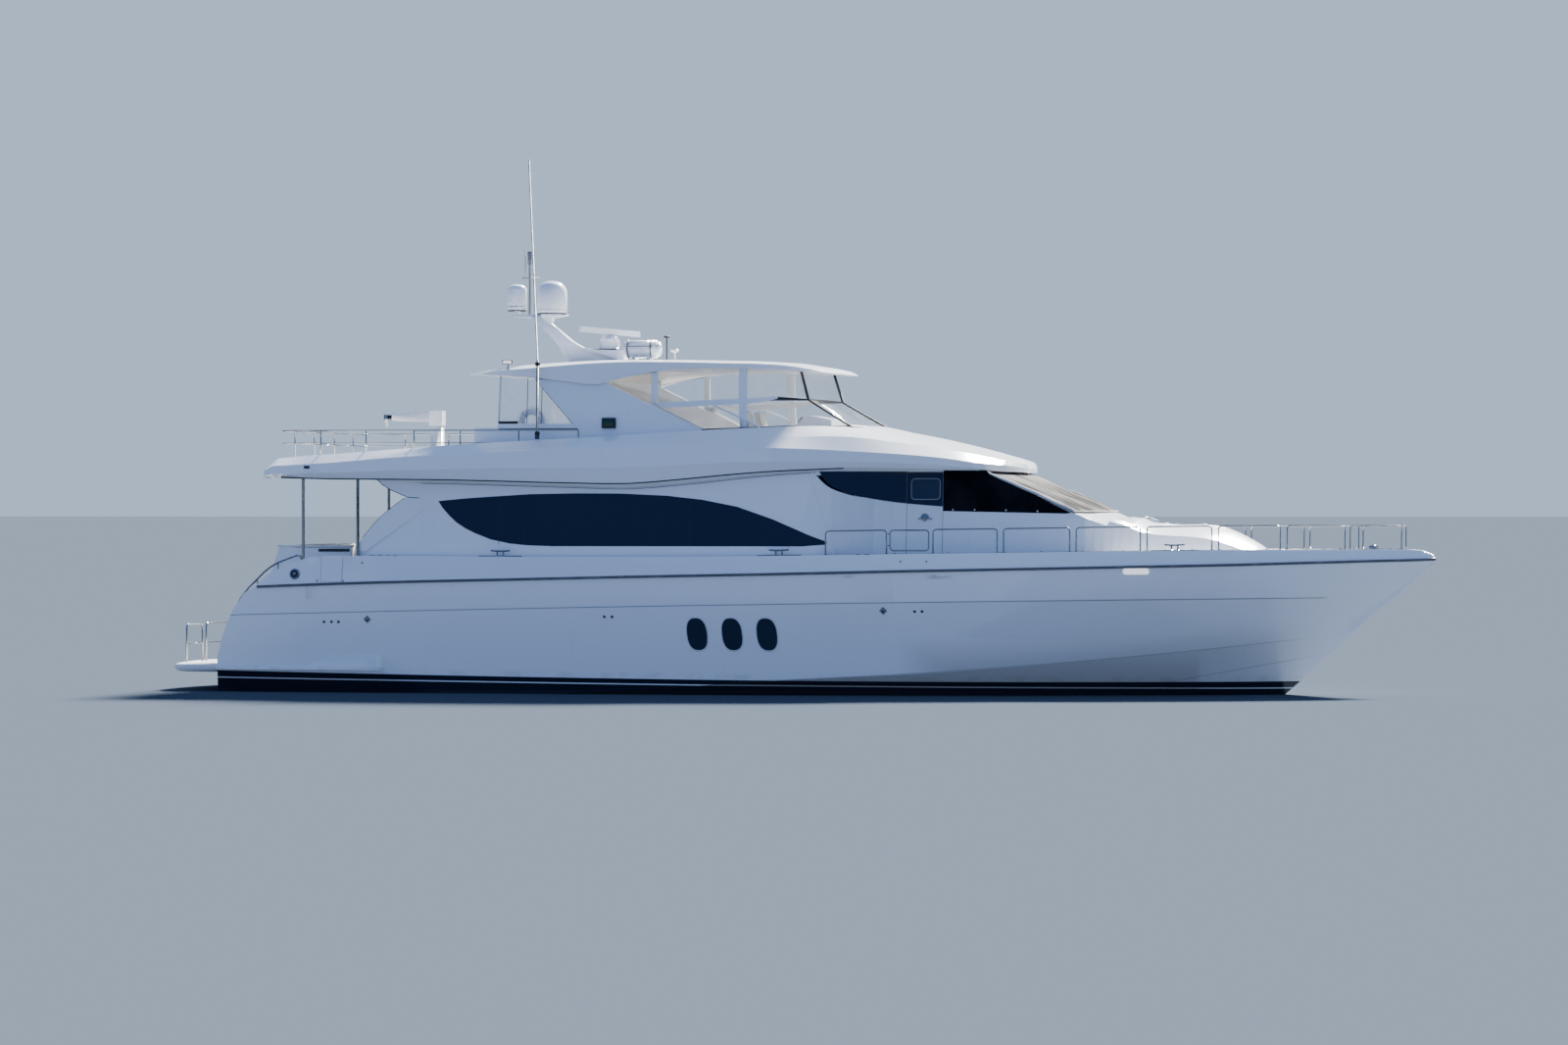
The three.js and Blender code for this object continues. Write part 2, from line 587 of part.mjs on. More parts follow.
// The aft bulkhead of the salon with its glass sliding door
const BULKHEAD_X = -6650;
function salonBulkhead(bridge) {
  const y = 2900;
  const wall = box(BULKHEAD_X, BULKHEAD_X + WALL, -y, y, AFT_DECK_Z + GAP, 4250);
  const opening = box(BULKHEAD_X - 10, BULKHEAD_X + 100, -1250, 0, AFT_DECK_Z + 40, 3880);
  const beside = houseStrip(-8200, 1500, AFT_DECK_Z, 4300, -400, WALL + GAP);
  return wall
    .subtract(opening)
    .subtract(beside)
    .subtract(mirrorY(beside))
    .subtract(bridge.translate([0, 0, -1]));
}
const slidingDoor = () => box(BULKHEAD_X - 52, BULKHEAD_X - 8, -1290, 40, AFT_DECK_Z + 12, 3920);

// Raked windscreen of the pilothouse, bowed forward at its middle, and its cloth cover
const SCREEN = { y: 2180, taper: 0.965, top: [4390, 4185], foot: [6130, 3440], bow: 0.00008 };
function screenSheet(halfY, under, over, topTrim, footTrim) {
  const dir = new THREE.Vector2(SCREEN.foot[0] - SCREEN.top[0], SCREEN.foot[1] - SCREEN.top[1]).normalize();
  const up = new THREE.Vector2(-dir.y, dir.x);
  const loops = [];
  for (let k = 0; k <= 12; k += 1) {
    const y = -halfY + (2 * halfY * k) / 12;
    const back = SCREEN.bow * y * y;
    const point = (end, along, lift) => [
      end[0] - back + dir.x * along + up.x * lift,
      end === SCREEN.top ? y * SCREEN.taper : y,
      end[1] + dir.y * along + up.y * lift,
    ];
    loops.push([
      point(SCREEN.top, topTrim, under), point(SCREEN.foot, -footTrim, under),
      point(SCREEN.foot, -footTrim, over), point(SCREEN.top, topTrim, over),
    ]);
  }
  return loft(loops);
}

// Trunk in front of the windscreen
function trunk() {
  const places = stations(TRUNK);
  const made = loft(
    places.map((x) => {
      const t = (name) => trunkAt(name, x);
      const foot = deckZ(x) + GAP;
      return mirrored(x, [
        [0, foot], [t("baseY"), foot], [t("baseY") * 0.4 + t("topY") * 0.6, t("edgeZ") - 60],
        [t("topY"), t("edgeZ")], [t("topY") * 0.55, t("crownZ") - 15], [0, t("crownZ")],
      ]);
    }),
  );
  const besideHouse = houseStrip(5500, HOUSE_END + GAP, 2270, 3500, -200, WALL + GAP);
  return made
    .subtract(screenSheet(2400, -13, 400, -600, -600))
    .subtract(besideHouse)
    .subtract(mirrorY(besideHouse));
}

// Boat deck, flybridge and brow in one moulding
function bridgeMoulding() {
  const body = loft(
    stations(BRIDGE).map((x) => {
      const b = (name) => bridgeAt(name, x);
      const full = 60 * THREE.MathUtils.smoothstep(x, 0, 2200); // the shoulder is full and round forward
      return mirrored(x, [
        [0, b("lowZ")], [b("lowY"), b("lowZ")], [b("kneeY"), (b("lowZ") + b("kneeZ")) / 2 - 40],
        [b("kneeY"), b("kneeZ")],
        [(b("kneeY") + b("topY")) / 2 + full, (b("kneeZ") + b("topZ")) / 2 + full],
        [b("topY"), b("topZ")], [0, b("crownZ")],
      ]);
    }),
  );
  const aftWell = stations(BRIDGE).filter((x) => x >= -9500 && x <= -6000);
  const well = loft(
    aftWell.map((x) => {
      const y = bridgeAt("topY", x) - 90;
      return [[x, -y, BOAT_DECK_Z], [x, y, BOAT_DECK_Z], [x, y, 5400], [x, -y, 5400]];
    }),
  );
  const bridgeWell = box(-6010, FRAME_FOOT_X, -WING_Y, WING_Y, BOAT_DECK_Z, 5400);
  const helmWell = box(FRAME_FOOT_X - 1, 900, -FRAME_FOOT_Y, FRAME_FOOT_Y, BOAT_DECK_Z, 5400);
  return body.subtract(well).subtract(bridgeWell).subtract(helmWell);
}

// Supports of the hardtop: a low wall aft, and a broad raked wing
function hardtopWing(hardtop) {
  const outline = [
    [-5900, BOAT_DECK_Z + GAP], [-5900, 5050], [-5350, 5050], [-5330, 5000], [-3840, 5000], [-4735, 6027],
    [-4700, 6150], [-3290, 6150], [-3280, 5895], [-2365, 5450], [-2080, 5345], [-1400, 5000],
    [-1400, BOAT_DECK_Z + GAP],
  ];
  return sidePlate(outline, -WING_Y + GAP, -WING_Y + 90).subtract(hardtop.translate([0, 0, -1]));
}

function hardtopShell() {
  return loft(
    stations(HARDTOP).map((x) => {
      const h = (name) => hardtopAt(name, x);
      const edge = h("edgeY");
      return mirrored(x, [
        [0, h("underZ")], [edge * 0.86, h("underZ")], [edge - 12, h("lowZ")], [edge, h("edgeZ")],
        [edge * 0.8, h("edgeZ") + (h("crownZ") - h("edgeZ")) * 0.7], [0, h("crownZ")],
      ]);
    }),
  );
}

// The flybridge's windows: one bent sheet from wing to wing, with its foot, bar and head at each upright
const SCREEN_UPRIGHTS = [
  [[-2410, -2085, 5400], [-2410, -2085, 5463], [-2410, -2060, 6200]],
  [[-1440, -2085, 4945], [-1400, -2075, 5512], [-1400, -2035, 6200]],
  [[-600, -2085, 4945], [-640, -2060, 5543], [-640, -2000, 6200]],
  [[200, -1965, 4990], [-30, -1790, 5587], [-160, -1740, 6200]],
  [[1400, -1715, 5030], [500, -1510, 5567], [320, -1430, 6200]],
];
function uprights() {
  const port = SCREEN_UPRIGHTS.map((upright) => upright.map(([x, y, z]) => [x, -y, z]));
  return [...SCREEN_UPRIGHTS, ...port.toReversed()];
}
// The way out of the sheet at an upright, for one facet or between two
function outward(i, level) {
  const rows = uprights();
  const away = new THREE.Vector3();
  for (const [a, b] of [[i - 1, i], [i, i + 1]]) {
    if (a < 0 || b >= rows.length) continue;
    const along = new THREE.Vector3(...rows[b][level]).sub(new THREE.Vector3(...rows[a][level]));
    const near = Math.min(level, 1);
    const up = new THREE.Vector3(...rows[i][near + 1]).sub(new THREE.Vector3(...rows[i][near]));
    away.add(along.cross(up).normalize());
  }
  return away.normalize();
}
function bentSheet(inner, outer) {
  return loft(
    uprights().map((upright, i) => {
      const at = (level, depth) =>
        new THREE.Vector3(...upright[level]).addScaledVector(outward(i, level), depth).toArray();
      return [at(0, inner), at(1, inner), at(2, inner), at(2, outer), at(1, outer), at(0, outer)];
    }),
  );
}
// A hole through a facet of the sheet: its corners are drawn in from the foot and head by a width aft and a width
// forward, and from the fore and back edges by one width each. Under 0, it runs on into the next facet.
function facetHole(i, level, [foot, front, head, back]) {
  const [aft, fore] = [uprights()[i], uprights()[i + 1]];
  const corners = [aft[level], fore[level], fore[level + 1], aft[level + 1]].map((p) => new THREE.Vector3(...p));
  const reach = (from, to, width) => {
    const edge = to.clone().sub(from);
    return edge.clone().multiplyScalar(width / edge.length());
  };
  const [a, b, c, d] = corners;
  const drawn = [
    a.clone().add(reach(a, b, back)).add(reach(a, d, foot[0])),
    b.clone().add(reach(b, a, front)).add(reach(b, c, foot[1])),
    c.clone().add(reach(c, d, front)).add(reach(c, b, head[1])),
    d.clone().add(reach(d, c, back)).add(reach(d, a, head[0])),
  ];
  const normal = c.clone().sub(a).cross(d.clone().sub(b)).normalize();
  const face = (depth) => drawn.map((p) => p.clone().addScaledVector(normal, depth).toArray());
  return loft([face(-160), face(160)]);
}
const FRAME_OUT = 44;
function bridgeFrame() {
  const holes = [
    // facet, level, and the widths at the foot, the fore edge, the head and the back edge
    [0, 0, [[6, 12], -6, [55, 57], 50]], [1, 0, [[30, 30], 75, [57, 54], -6]],
    [2, 0, [[60, 60], -6, [54, 38], 75]], [3, 0, [[60, 60], 16, [38, 16], -6]],
    [0, 1, [[57, 50], -6, [30, 30], 118]], [1, 1, [[50, 46], 75, [30, 30], -6]],
    [2, 1, [[46, 38], -6, [30, 30], 75]], [3, 1, [[38, 14], 16, [30, 30], -6]],
    [4, 0, [[60, 60], 16, [16, 16], 16]], [4, 1, [[14, 14], 16, [30, 30], 16]],
  ];
  const flip = (i, level, [foot, front, head, back]) => [
    8 - i, level, [foot.toReversed(), back, head.toReversed(), front],
  ];
  const both = holes.flatMap((hole) => (hole[0] < 4 ? [hole, flip(...hole)] : [hole]));
  const frame = both.reduce((left, hole) => left.subtract(facetHole(...hole)), bentSheet(2, FRAME_OUT));
  const brace = (side) => rod([-1200, side * 2108, 5470], [-290, side * 2100, 5045], 20, 6);
  return join([frame, brace(-1), brace(1)]);
}
// One clear sheet behind the frame
const bridgeGlass = () => bentSheet(-6, 1.4);

// Mast, domes, radar and what else stands on the hardtop
const SMALL_DOME_X = -5640;
function mast() {
  const leg = [
    [-4560, 6330], [-3450, 6330], [-3450, 6570], [-4000, 6590], [-4300, 6633], [-4500, 6745], [-4690, 6896],
    [-4950, 7100], [-4900, 7240], [-5330, 7240], [-5235, 7141], [-4900, 6815], [-4760, 6640],
  ];
  const shelf = sidePlate(
    [[-5770, 7245], [-5770, 7280], [-4630, 7280], [-4630, 7255], [-4850, 7215], [-5400, 7215]], -90, 90,
  );
  const seat = rod([-4940, 0, 7240], [-4940, 0, 7290], 230, 16);
  const stalk = rod([SMALL_DOME_X, 0, 7270], [SMALL_DOME_X, 0, 7356], 60, 10);
  const pole = rod([-5390, 0, 7260], [-5390, 0, 8280], 22);
  const lamp = rod([-5390, 0, 8260], [-5390, 0, 8510], 45);
  const crossbar = rod([-5540, 0, 7995], [-5200, 0, 7995], 10, 6);
  const whip = rod([-5475, 0, 7990], [-5480, 0, 8560], 7, 6);
  const leaf = sidePlate(leg, -110, 110);
  return join([leaf, shelf, seat, stalk, pole, lamp, crossbar, whip, radarPedestal()])
    .subtract(hardtopSolid.translate([0, 0, 1]));
}
// A dome's straight skirt and its round top
const domeProfile = (r, z0, h, top) => [
  [0, z0], [r * 0.88, z0], [r, z0 + 30], [r, z0 + h - top], [r * 0.96, z0 + h - top * 0.66],
  [r * 0.84, z0 + h - top * 0.37], [r * 0.6, z0 + h - top * 0.12], [r * 0.3, z0 + h - top * 0.02], [0, z0 + h],
];

const RADAR = { x: -3790, z: 6830, tilt: THREE.MathUtils.degToRad(5), turn: 38 };
function inRadar(made) {
  return solid(geometryOf(made).rotateY(RADAR.tilt).translate(RADAR.x, 0, RADAR.z));
}
const radarPedestal = () =>
  inRadar(
    join([
      box(-150, 190, -100, 100, -330, -60),
      turned([[0, -65], [190, -65], [180, -20], [140, 20], [60, 40], [0, 40]], 20, 0, 12),
    ]),
  );
const radarArray = () =>
  inRadar(box(-620, 620, -60, 60, 55, 165).add(rod([0, 0, 46], [0, 0, 70], 45)).rotate([0, 0, RADAR.turn]));

function liferaft() {
  const r = 175;
  const z = hardtopAt("crownZ", -2860) + r + 30;
  const barrel = rod([-3230, -750, z], [-2640, -750, z], r, 12);
  const ends = rod([-3290, -750, z], [-2580, -750, z], r * 0.8, 12);
  const cradle = (x) => box(x - 25, x + 25, -900, -600, z - r - 90, z - 80);
  return join([barrel, ends, cradle(-3080), cradle(-2790)]).subtract(hardtopSolid.translate([0, 0, 1]));
}

// Whip antennas lean aft from the flybridge's coaming
function whip() {
  return join([
    rod([-4570, -2440, 4900], [-4600, -2300, 6330], 24),
    rod([-4600, -2300, 6320], [-4770, -2300, 10160], 13),
    box(-4605, -4535, -2480, -2400, 4830, 4920),
  ]).subtract(bridgeSolid.translate([0, 0, 1]));
}

// Davit: column, slewing head with its boom, and the sliding extension
const DAVIT_X = -7260;
const BOOM_END = DAVIT_X - 900;
const BOOM_Z = 5290;
const davitColumn = () =>
  join([
    box(DAVIT_X - 110, DAVIT_X + 110, -110, 110, BOAT_DECK_Z + GAP, 5110),
    rod([DAVIT_X, 0, 5100], [DAVIT_X, 0, 5120], 100, 12),
    box(DAVIT_X - 190, DAVIT_X + 190, -190, 190, BOAT_DECK_Z + GAP, BOAT_DECK_Z + 40),
  ]);
function davitBoom() {
  const head = box(DAVIT_X - 130, DAVIT_X + 130, -130, 130, 5128, 5420);
  const outline = [[DAVIT_X - 100, 5190], [DAVIT_X - 100, 5410], [BOOM_END, 5370], [BOOM_END, 5230]];
  const bore = box(BOOM_END - 100, DAVIT_X - 60, -58, 58, BOOM_Z - 38, BOOM_Z + 58);
  return head.add(sidePlate(outline, -90, 90)).subtract(bore);
}
const davitReach = () =>
  join([
    box(BOOM_END - 110, DAVIT_X - 80, -50, 50, BOOM_Z - 30, BOOM_Z + 50),
    box(BOOM_END - 170, BOOM_END - 100, -60, 60, BOOM_Z - 90, BOOM_Z + 60),
    rod([BOOM_END - 135, 0, BOOM_Z - 180], [BOOM_END - 135, 0, BOOM_Z - 80], 30, 8),
  ]);

// Stainless rails
function staple(x0, x1, foot, height, y) {
  const path = [
    [x0, -y(x0), foot(x0)], [x0, -y(x0), foot(x0) + height],
    [x1, -y(x1), foot(x1) + height], [x1, -y(x1), foot(x1)],
  ];
  return pipe(rounded(path, 70), RAIL_R, [0.2, 1, 0]);
}
const railY = (x) => hullAt("capY", x) - 80;
const railFoot = (x) => hullAt("capZ", x) + 4;
const RAIL_BAYS = [
  [1185, 2345], [3225, 4425], [4545, 5765], [5885, 7055],
  [7175, 8335], [8455, 9545], [9665, 10675], [10765, 11655],
];
const RAIL_HEIGHT = 445;
function bowRail() {
  const [aft, fore] = [RAIL_BAYS[0][0] - 40, RAIL_BAYS[RAIL_BAYS.length - 1][1] + 40];
  const places = [aft, ...HULL_STATIONS.filter((x) => x > aft && x < fore), fore];
  const strip = loft(
    places.map((x) => {
      const y = railY(x);
      const z = hullAt("capZ", x) + 3 * GAP;
      return [[x, -y - 22, z], [x, -y + 22, z], [x, -y + 22, z + 8], [x, -y - 22, z + 8]];
    }),
  );
  return join([strip, ...RAIL_BAYS.map(([a, b]) => staple(a, b, railFoot, RAIL_HEIGHT, railY))]);
}
// The gate in the rail swings on its aft upright
const GATE = { x0: 2415, x1: 3145, z0: 2725, z1: 3105 };
function railGate() {
  const y = railY;
  const { x0, x1, z0, z1 } = GATE;
  const loop = [
    [(x0 + x1) / 2, -y((x0 + x1) / 2), z1], [x1, -y(x1), z1], [x1, -y(x1), z0],
    [x0, -y(x0), z0], [x0, -y(x0), z1], [(x0 + x1) / 2 - 1, -y((x0 + x1) / 2), z1],
  ];
  const ends = [90, 310].map((up) => rod([x0 - 50, -y(x0), z0 + up], [x0, -y(x0), z0 + up], 9, 6));
  return join([pipe(rounded(loop, 70), RAIL_R, [0.2, 1, 0]), ...ends]);
}

const BOAT_RAIL = { aft: -9560, fore: -3750, mid: 4760, top: 5000 };
function boatDeckRail() {
  const edge = (x) => bridgeAt("topY", x) - 45;
  const { aft, fore, mid, top } = BOAT_RAIL;
  const sides = [fore, -4900, -6000, -7250, -8500];
  const turn = (z) =>
    rounded(
      [
        ...sides.map((x) => [x, -edge(x), z]), [aft, -edge(-9200), z],
        [aft, edge(-9200), z], ...sides.toReversed().map((x) => [x, edge(x), z]),
      ],
      240,
    );
  const post = (x, y) => rod([x, y, 4300], [x, y, top], RAIL_R, 6);
  const along = [fore, -4900, -6000, -6900, -7850, -8750];
  return join([
    pipe(turn(top), RAIL_R, [0, 0, 1]),
    pipe(turn(mid), 10, [0, 0, 1]),
    ...along.flatMap((x) => [post(x, -edge(x)), post(x, edge(x))]),
    ...[-1900, -650, 650, 1900].map((y) => post(aft, y)),
  ]).subtract(bridgeSolid.translate([0, 0, 1]));
}

function platformRail([y0, y1]) {
  const x = PLATFORM_RAIL_X;
  const foot = PLATFORM_TOP - RAIL_SOCKET + 1;
  const top = 1270;
  const rung = 895;
  const staplePath = rounded([[x, y0, foot], [x, y0, top], [x, y1, top], [x, y1, foot]], 90);
  return pipe(staplePath, 19, [1, 0, 0]).add(rod([x, y0, rung], [x, y1, rung], 14, 6));
}

// The two posts on each quarter that hold up the boat deck's moulding
const deckPosts = () =>
  [[-9100, 2450], [-8010, 2560]].flatMap(([x, foot]) =>
    [-1, 1].map((side) => rod([x, side * 2835, foot], [x, side * 2835, bridgeAt("lowZ", x) + 20], 32, 8)),
  );

// Underwater gear; the shafts slope down aft
const PROP = { x: -9180, z: -1199, r: 460, slope: THREE.MathUtils.degToRad(8) };
const onShaft = (along) => [PROP.x + along * Math.cos(PROP.slope), -SHAFT_Y, PROP.z + along * Math.sin(PROP.slope)];
function shaftAndStrut() {
  const shaft = rod(onShaft(98), onShaft(2400), 38, 8);
  const [x, , z] = onShaft(360);
  const strut = sidePlate([[x - 70, z], [x - 120, -400], [x + 100, -400], [x + 90, z]], -SHAFT_Y - 18, -SHAFT_Y + 18);
  const barrel = rod(onShaft(200), onShaft(470), 62, 8);
  return join([shaft, strut, barrel]).subtract(hullSolid.translate([0, 0, -0.5]));
}
function propeller() {
  const hub = rod([90, 0, 0], [-130, 0, 0], 68, 10);
  const blade = (turn) => {
    const sections = [
      // radius, half-chord, pitch angle in degrees
      [40, 100, 62], [180, 165, 48], [320, 175, 36], [420, 120, 29], [460, 40, 26],
    ];
    const loops = sections.map(([r, chord, pitch]) => {
      const a = THREE.MathUtils.degToRad(pitch);
      const t = 14 - r * 0.018;
      const point = (along, off) => [
        along * Math.sin(a) * -1 + off * Math.cos(a), along * Math.cos(a) + off * Math.sin(a), r,
      ];
      return [point(-chord, 0), point(0, -t), point(chord, 0), point(0, t)];
    });
    return loft(loops).rotate([turn, 0, 0]);
  };
  const made = join([hub, ...[45, 135, 225, 315].map(blade)]);
  return made.rotate([0, -THREE.MathUtils.radToDeg(PROP.slope), 0]).translate([PROP.x, -SHAFT_Y, PROP.z]);
}
const RUDDER_X = -9950;
function rudder() {
  const section = [[170, 0], [110, 34], [-90, 40], [-330, 4], [-330, -4], [-90, -40], [110, -34]];
  const blade = (z, k) => section.map(([x, y]) => [RUDDER_X + x * k, -SHAFT_Y + y * k, z]);
  const made = loft([blade(-1540, 0.8), blade(-700, 1)]);
  const stock = rod([RUDDER_X, -SHAFT_Y, -720], [RUDDER_X, -SHAFT_Y, -508], 38, 8);
  return made.add(stock);
}

// Furniture of the flybridge and the aft deck
const CONSOLE = { x0: 150, x1: 880, y0: -1150, y1: 150 };
function bridgeConsole() {
  const { x0, x1, y0, y1 } = CONSOLE;
  const side = [[x0 + 120, BOAT_DECK_Z + GAP], [x0, 5080], [x0 + 260, 5290], [x1, 5200], [x1, BOAT_DECK_Z + GAP]];
  return sidePlate(side, y0, y1).add(helmWheel());
}
const WHEEL = { x: 90, y: -500, z: 5070 };
function helmWheel() {
  const tilt = THREE.MathUtils.degToRad(-70);
  const rim = new THREE.TorusGeometry(200, 16, 6, 16);
  const hubRod = solid(new THREE.CylinderGeometry(40, 40, 220, 8).rotateX(Math.PI / 2).translate(0, 0, -80));
  const spoke = (turn) => solid(new THREE.BoxGeometry(400, 26, 14)).rotate([0, 0, turn]);
  const made = join([solid(rim), hubRod, spoke(0), spoke(60), spoke(120)]);
  return solid(geometryOf(made).rotateY(tilt).translate(WHEEL.x, WHEEL.y, WHEEL.z));
}
function helmSeat(y) {
  const x = -700;
  return join([
    rod([x, y, BOAT_DECK_Z + GAP], [x, y, 4720], 60, 8),
    rod([x, y, BOAT_DECK_Z + GAP], [x, y, BOAT_DECK_Z + 30], 190, 10),
    box(x - 260, x + 260, y - 280, y + 280, 4700, 4880),
    sidePlate([[x - 180, 4870], [x - 340, 5360], [x - 240, 5380], [x - 60, 4870]], y - 270, y + 270),
  ]);
}
function bridgeSettee() {
  const seatTop = 4740;
  const seat = sidePlate(
    [[-5200, BOAT_DECK_Z + GAP], [-5200, seatTop], [-2600, seatTop], [-2600, BOAT_DECK_Z + GAP]], 1380, WING_Y - 95);
  const back = box(-5200, -2600, 1900, WING_Y - 95, seatTop - 10, 5060);
  return seat.add(back);
}
function aftSettee() {
  const [x0, x1] = [-9595, -8980];
  const seat = box(x0, x1, -1700, 1700, AFT_DECK_Z + GAP, 2230);
  const back = sidePlate([[x0, 2220], [x0, 2830], [x0 + 110, 2830], [x0 + 220, 2220]], -1700, 1700);
  return seat.add(back);
}

// Windlass: a base, the gypsy and a second drum
function windlass() {
  const z = 2550 + GAP;
  const gypsy = [[0, z + 80], [110, z + 80], [70, z + 150], [100, z + 250], [0, z + 290]];
  const drum = [[0, z + 80], [90, z + 80], [60, z + 140], [80, z + 190], [0, z + 200]];
  return join([box(10850, 11200, -170, 170, z, z + 90), turned(gypsy, 11080, 0, 10), turned(drum, 10930, 0, 10)]);
}

// Boarding gate in the bulwark above the strake, hung at its aft edge
const BOARDING = { x0: -8695, x1: -8255, z0: 2115, thick: 70 };
function boardingGate(closed) {
  const { x0, x1, z0, thick } = BOARDING;
  const shell = closed.subtract(closed.translate([0, thick, 0]));
  return shell.intersect(box(x0 + CLEAR, x1 - CLEAR - 4, -3300, -2700, z0 + CLEAR, 3000));
}

// Assembly
const bareBridge = bridgeMoulding();
const hardtopSolid = hardtopShell();
const ledge = sternLedge();
const closedHull = join([hull(), ledge, mirrorY(ledge)]);
const gateway = box(BOARDING.x0, BOARDING.x1, -3300, -2600, BOARDING.z0, 3000);
const hullSolid = closedHull.subtract(gateway).subtract(mirrorY(gateway));
const bridgeSolid = join([bareBridge, ...deckPosts()]).subtract(hullSolid.translate([0, 0, 0.6]));

const moulded = mouldings(hullSolid);
add("hull", moulded.bottom, WHITE);
add("stern_moulding", moulded.stern, WHITE);
add("bulwark_starboard", moulded.starboard, WHITE);
add("bulwark_port", moulded.port, WHITE);
add("rubbing_strake", rubbingStrake(), STRAKE);
addPair("boarding_gate", boardingGate(closedHull), WHITE);
add("swim_platform", swimPlatform(), DECK);
add("transom_door", transomDoor(), WHITE);
add("platform_rail_short", platformRail(PLATFORM_RAILS[0]), STEEL);
add("platform_rail_long", platformRail(PLATFORM_RAILS[1]), STEEL);

const salonWall = salonSide(bareBridge);
addPair("salon_side", salonWall, WHITE);
addPair("salon_window", pane(salonWindow(3), -6500, 1300), DARK_GLASS);
add("salon_bulkhead", salonBulkhead(bareBridge), WHITE);
add("salon_door", slidingDoor(), DARK_GLASS);
addPair("pilothouse_side", pilothouseSide(bareBridge), WHITE);
addPair("aft_side_window", pane(aftSideWindow(2), 900, 2500), DARK_GLASS);
addPair("forward_side_window", pane(forwardSideWindow(2), 3300, 5700), DARK_GLASS);
addPair("side_door", sideDoor(), WHITE);
const underBrow = bareBridge.translate([0, 0, -1]);
add("windscreen", screenSheet(SCREEN.y, -12, 0, -150, 8).subtract(underBrow), DARK_GLASS);
add("windscreen_cover", screenSheet(SCREEN.y, 4, 15, 8, 8).subtract(underBrow), CANVAS);
add("trunk", trunk(), WHITE);

add("bridge_moulding", bridgeSolid, WHITE);
const wing = hardtopWing(hardtopSolid);
const raisedWing = wing.translate([0, 0, 0.8]).add(wing.translate([1.2, 0, 0.8]));
const roundScreen = join([
  bareBridge.translate([0, 0, 0.8]), hardtopSolid.translate([0, 0, -1]), raisedWing, mirrorY(raisedWing),
]);
add("bridge_frame", bridgeFrame().subtract(roundScreen), WHITE);
add("bridge_glass", bridgeGlass().subtract(roundScreen), CLEAR_GLASS);
add("hardtop", hardtopSolid, WHITE);
addPair("hardtop_wing", wing, WHITE);
add("bridge_console", bridgeConsole(), WHITE);
add("helm_seat_starboard", helmSeat(-500), VINYL);
add("helm_seat_port", helmSeat(700), VINYL);
add("bridge_settee", bridgeSettee(), VINYL);
add("aft_settee", aftSettee(), VINYL);

add("mast", mast(), WHITE);
add("dome_large", turned(domeProfile(298, 7291, 640, 270), -4940, 0, 20), WHITE);
add("dome_small", turned(domeProfile(189, 7357, 515, 120), SMALL_DOME_X, 0, 16), WHITE);
add("radar_array", radarArray(), WHITE);
add("liferaft", liferaft(), WHITE);
add("whip_antenna", whip(), WHITE);
add("davit_column", davitColumn(), WHITE);
add("davit_boom", davitBoom(), WHITE);
add("davit_reach", davitReach(), STEEL);

addPair("bow_rail", bowRail(), STEEL);
addPair("rail_gate", railGate(), STEEL);
add("boat_deck_rail", boatDeckRail(), STEEL);
add("windlass", windlass(), STEEL);

addPair("shaft", shaftAndStrut(), BRONZE);
const propellerSolid = propeller();
addPair("propeller", propellerSolid, BRONZE);
addPair("rudder", rudder(), BRONZE);

export default yacht;
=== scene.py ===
# %% [markdown]
# A motor yacht, dressed
#
# The frame that loads here is the boat's construction: hull, deckhouse, decks, rails, mast and running
# gear, in metres, with +X to the bow, +Y to port and z = 0 at the waterline. This script gives it its
# skin: gelcoat, tinted glass, stainless steel and cloth, and the small gear that a crew bolts on
# afterwards.

import json
import math
import bmesh
import bpy
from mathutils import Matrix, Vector
from mathutils.bvhtree import BVHTree


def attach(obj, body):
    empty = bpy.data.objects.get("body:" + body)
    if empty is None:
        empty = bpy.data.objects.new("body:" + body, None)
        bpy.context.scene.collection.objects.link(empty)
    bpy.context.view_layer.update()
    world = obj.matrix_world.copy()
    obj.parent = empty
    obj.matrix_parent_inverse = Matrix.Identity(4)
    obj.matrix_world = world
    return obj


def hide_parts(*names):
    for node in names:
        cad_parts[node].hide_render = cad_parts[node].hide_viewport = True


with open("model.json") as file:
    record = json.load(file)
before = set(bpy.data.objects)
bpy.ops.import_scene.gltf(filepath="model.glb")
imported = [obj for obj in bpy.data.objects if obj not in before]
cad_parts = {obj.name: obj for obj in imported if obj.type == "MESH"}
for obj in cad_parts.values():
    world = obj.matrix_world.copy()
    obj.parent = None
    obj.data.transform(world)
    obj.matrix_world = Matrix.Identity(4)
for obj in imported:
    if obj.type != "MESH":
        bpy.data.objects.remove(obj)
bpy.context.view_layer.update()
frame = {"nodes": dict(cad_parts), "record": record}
NODES = frame["nodes"]
BODY_OF = {node: body for body, nodes in frame["record"]["behaviour"]["bodies"].items() for node in nodes}
SIDES = {"starboard": -1, "port": 1}
UP = Vector((0, 0, 1))

# %% [markdown]
# The camera comes first, because every later choice is judged through it. The boat is seen from its
# starboard side through a long lens from the far bank of a basin, turned so that the bow is a little
# nearer than the stern. A long lens from far away keeps the lines of the decks almost parallel, and a
# short lens close by would bend them.

# %% The camera
PHOTO_WIDTH = 1600  # pixels
FOCAL = 6095.0      # pixels
YAW = math.radians(13.0)
DISTANCE = 115.0
SIDE_STEP = 0.305  # how far the camera stands aside, which brings the boat to its place in the frame
EYE_HEIGHT = 3.45
PITCH = math.atan(11 / FOCAL)  # the horizon lies 11 pixels over the middle

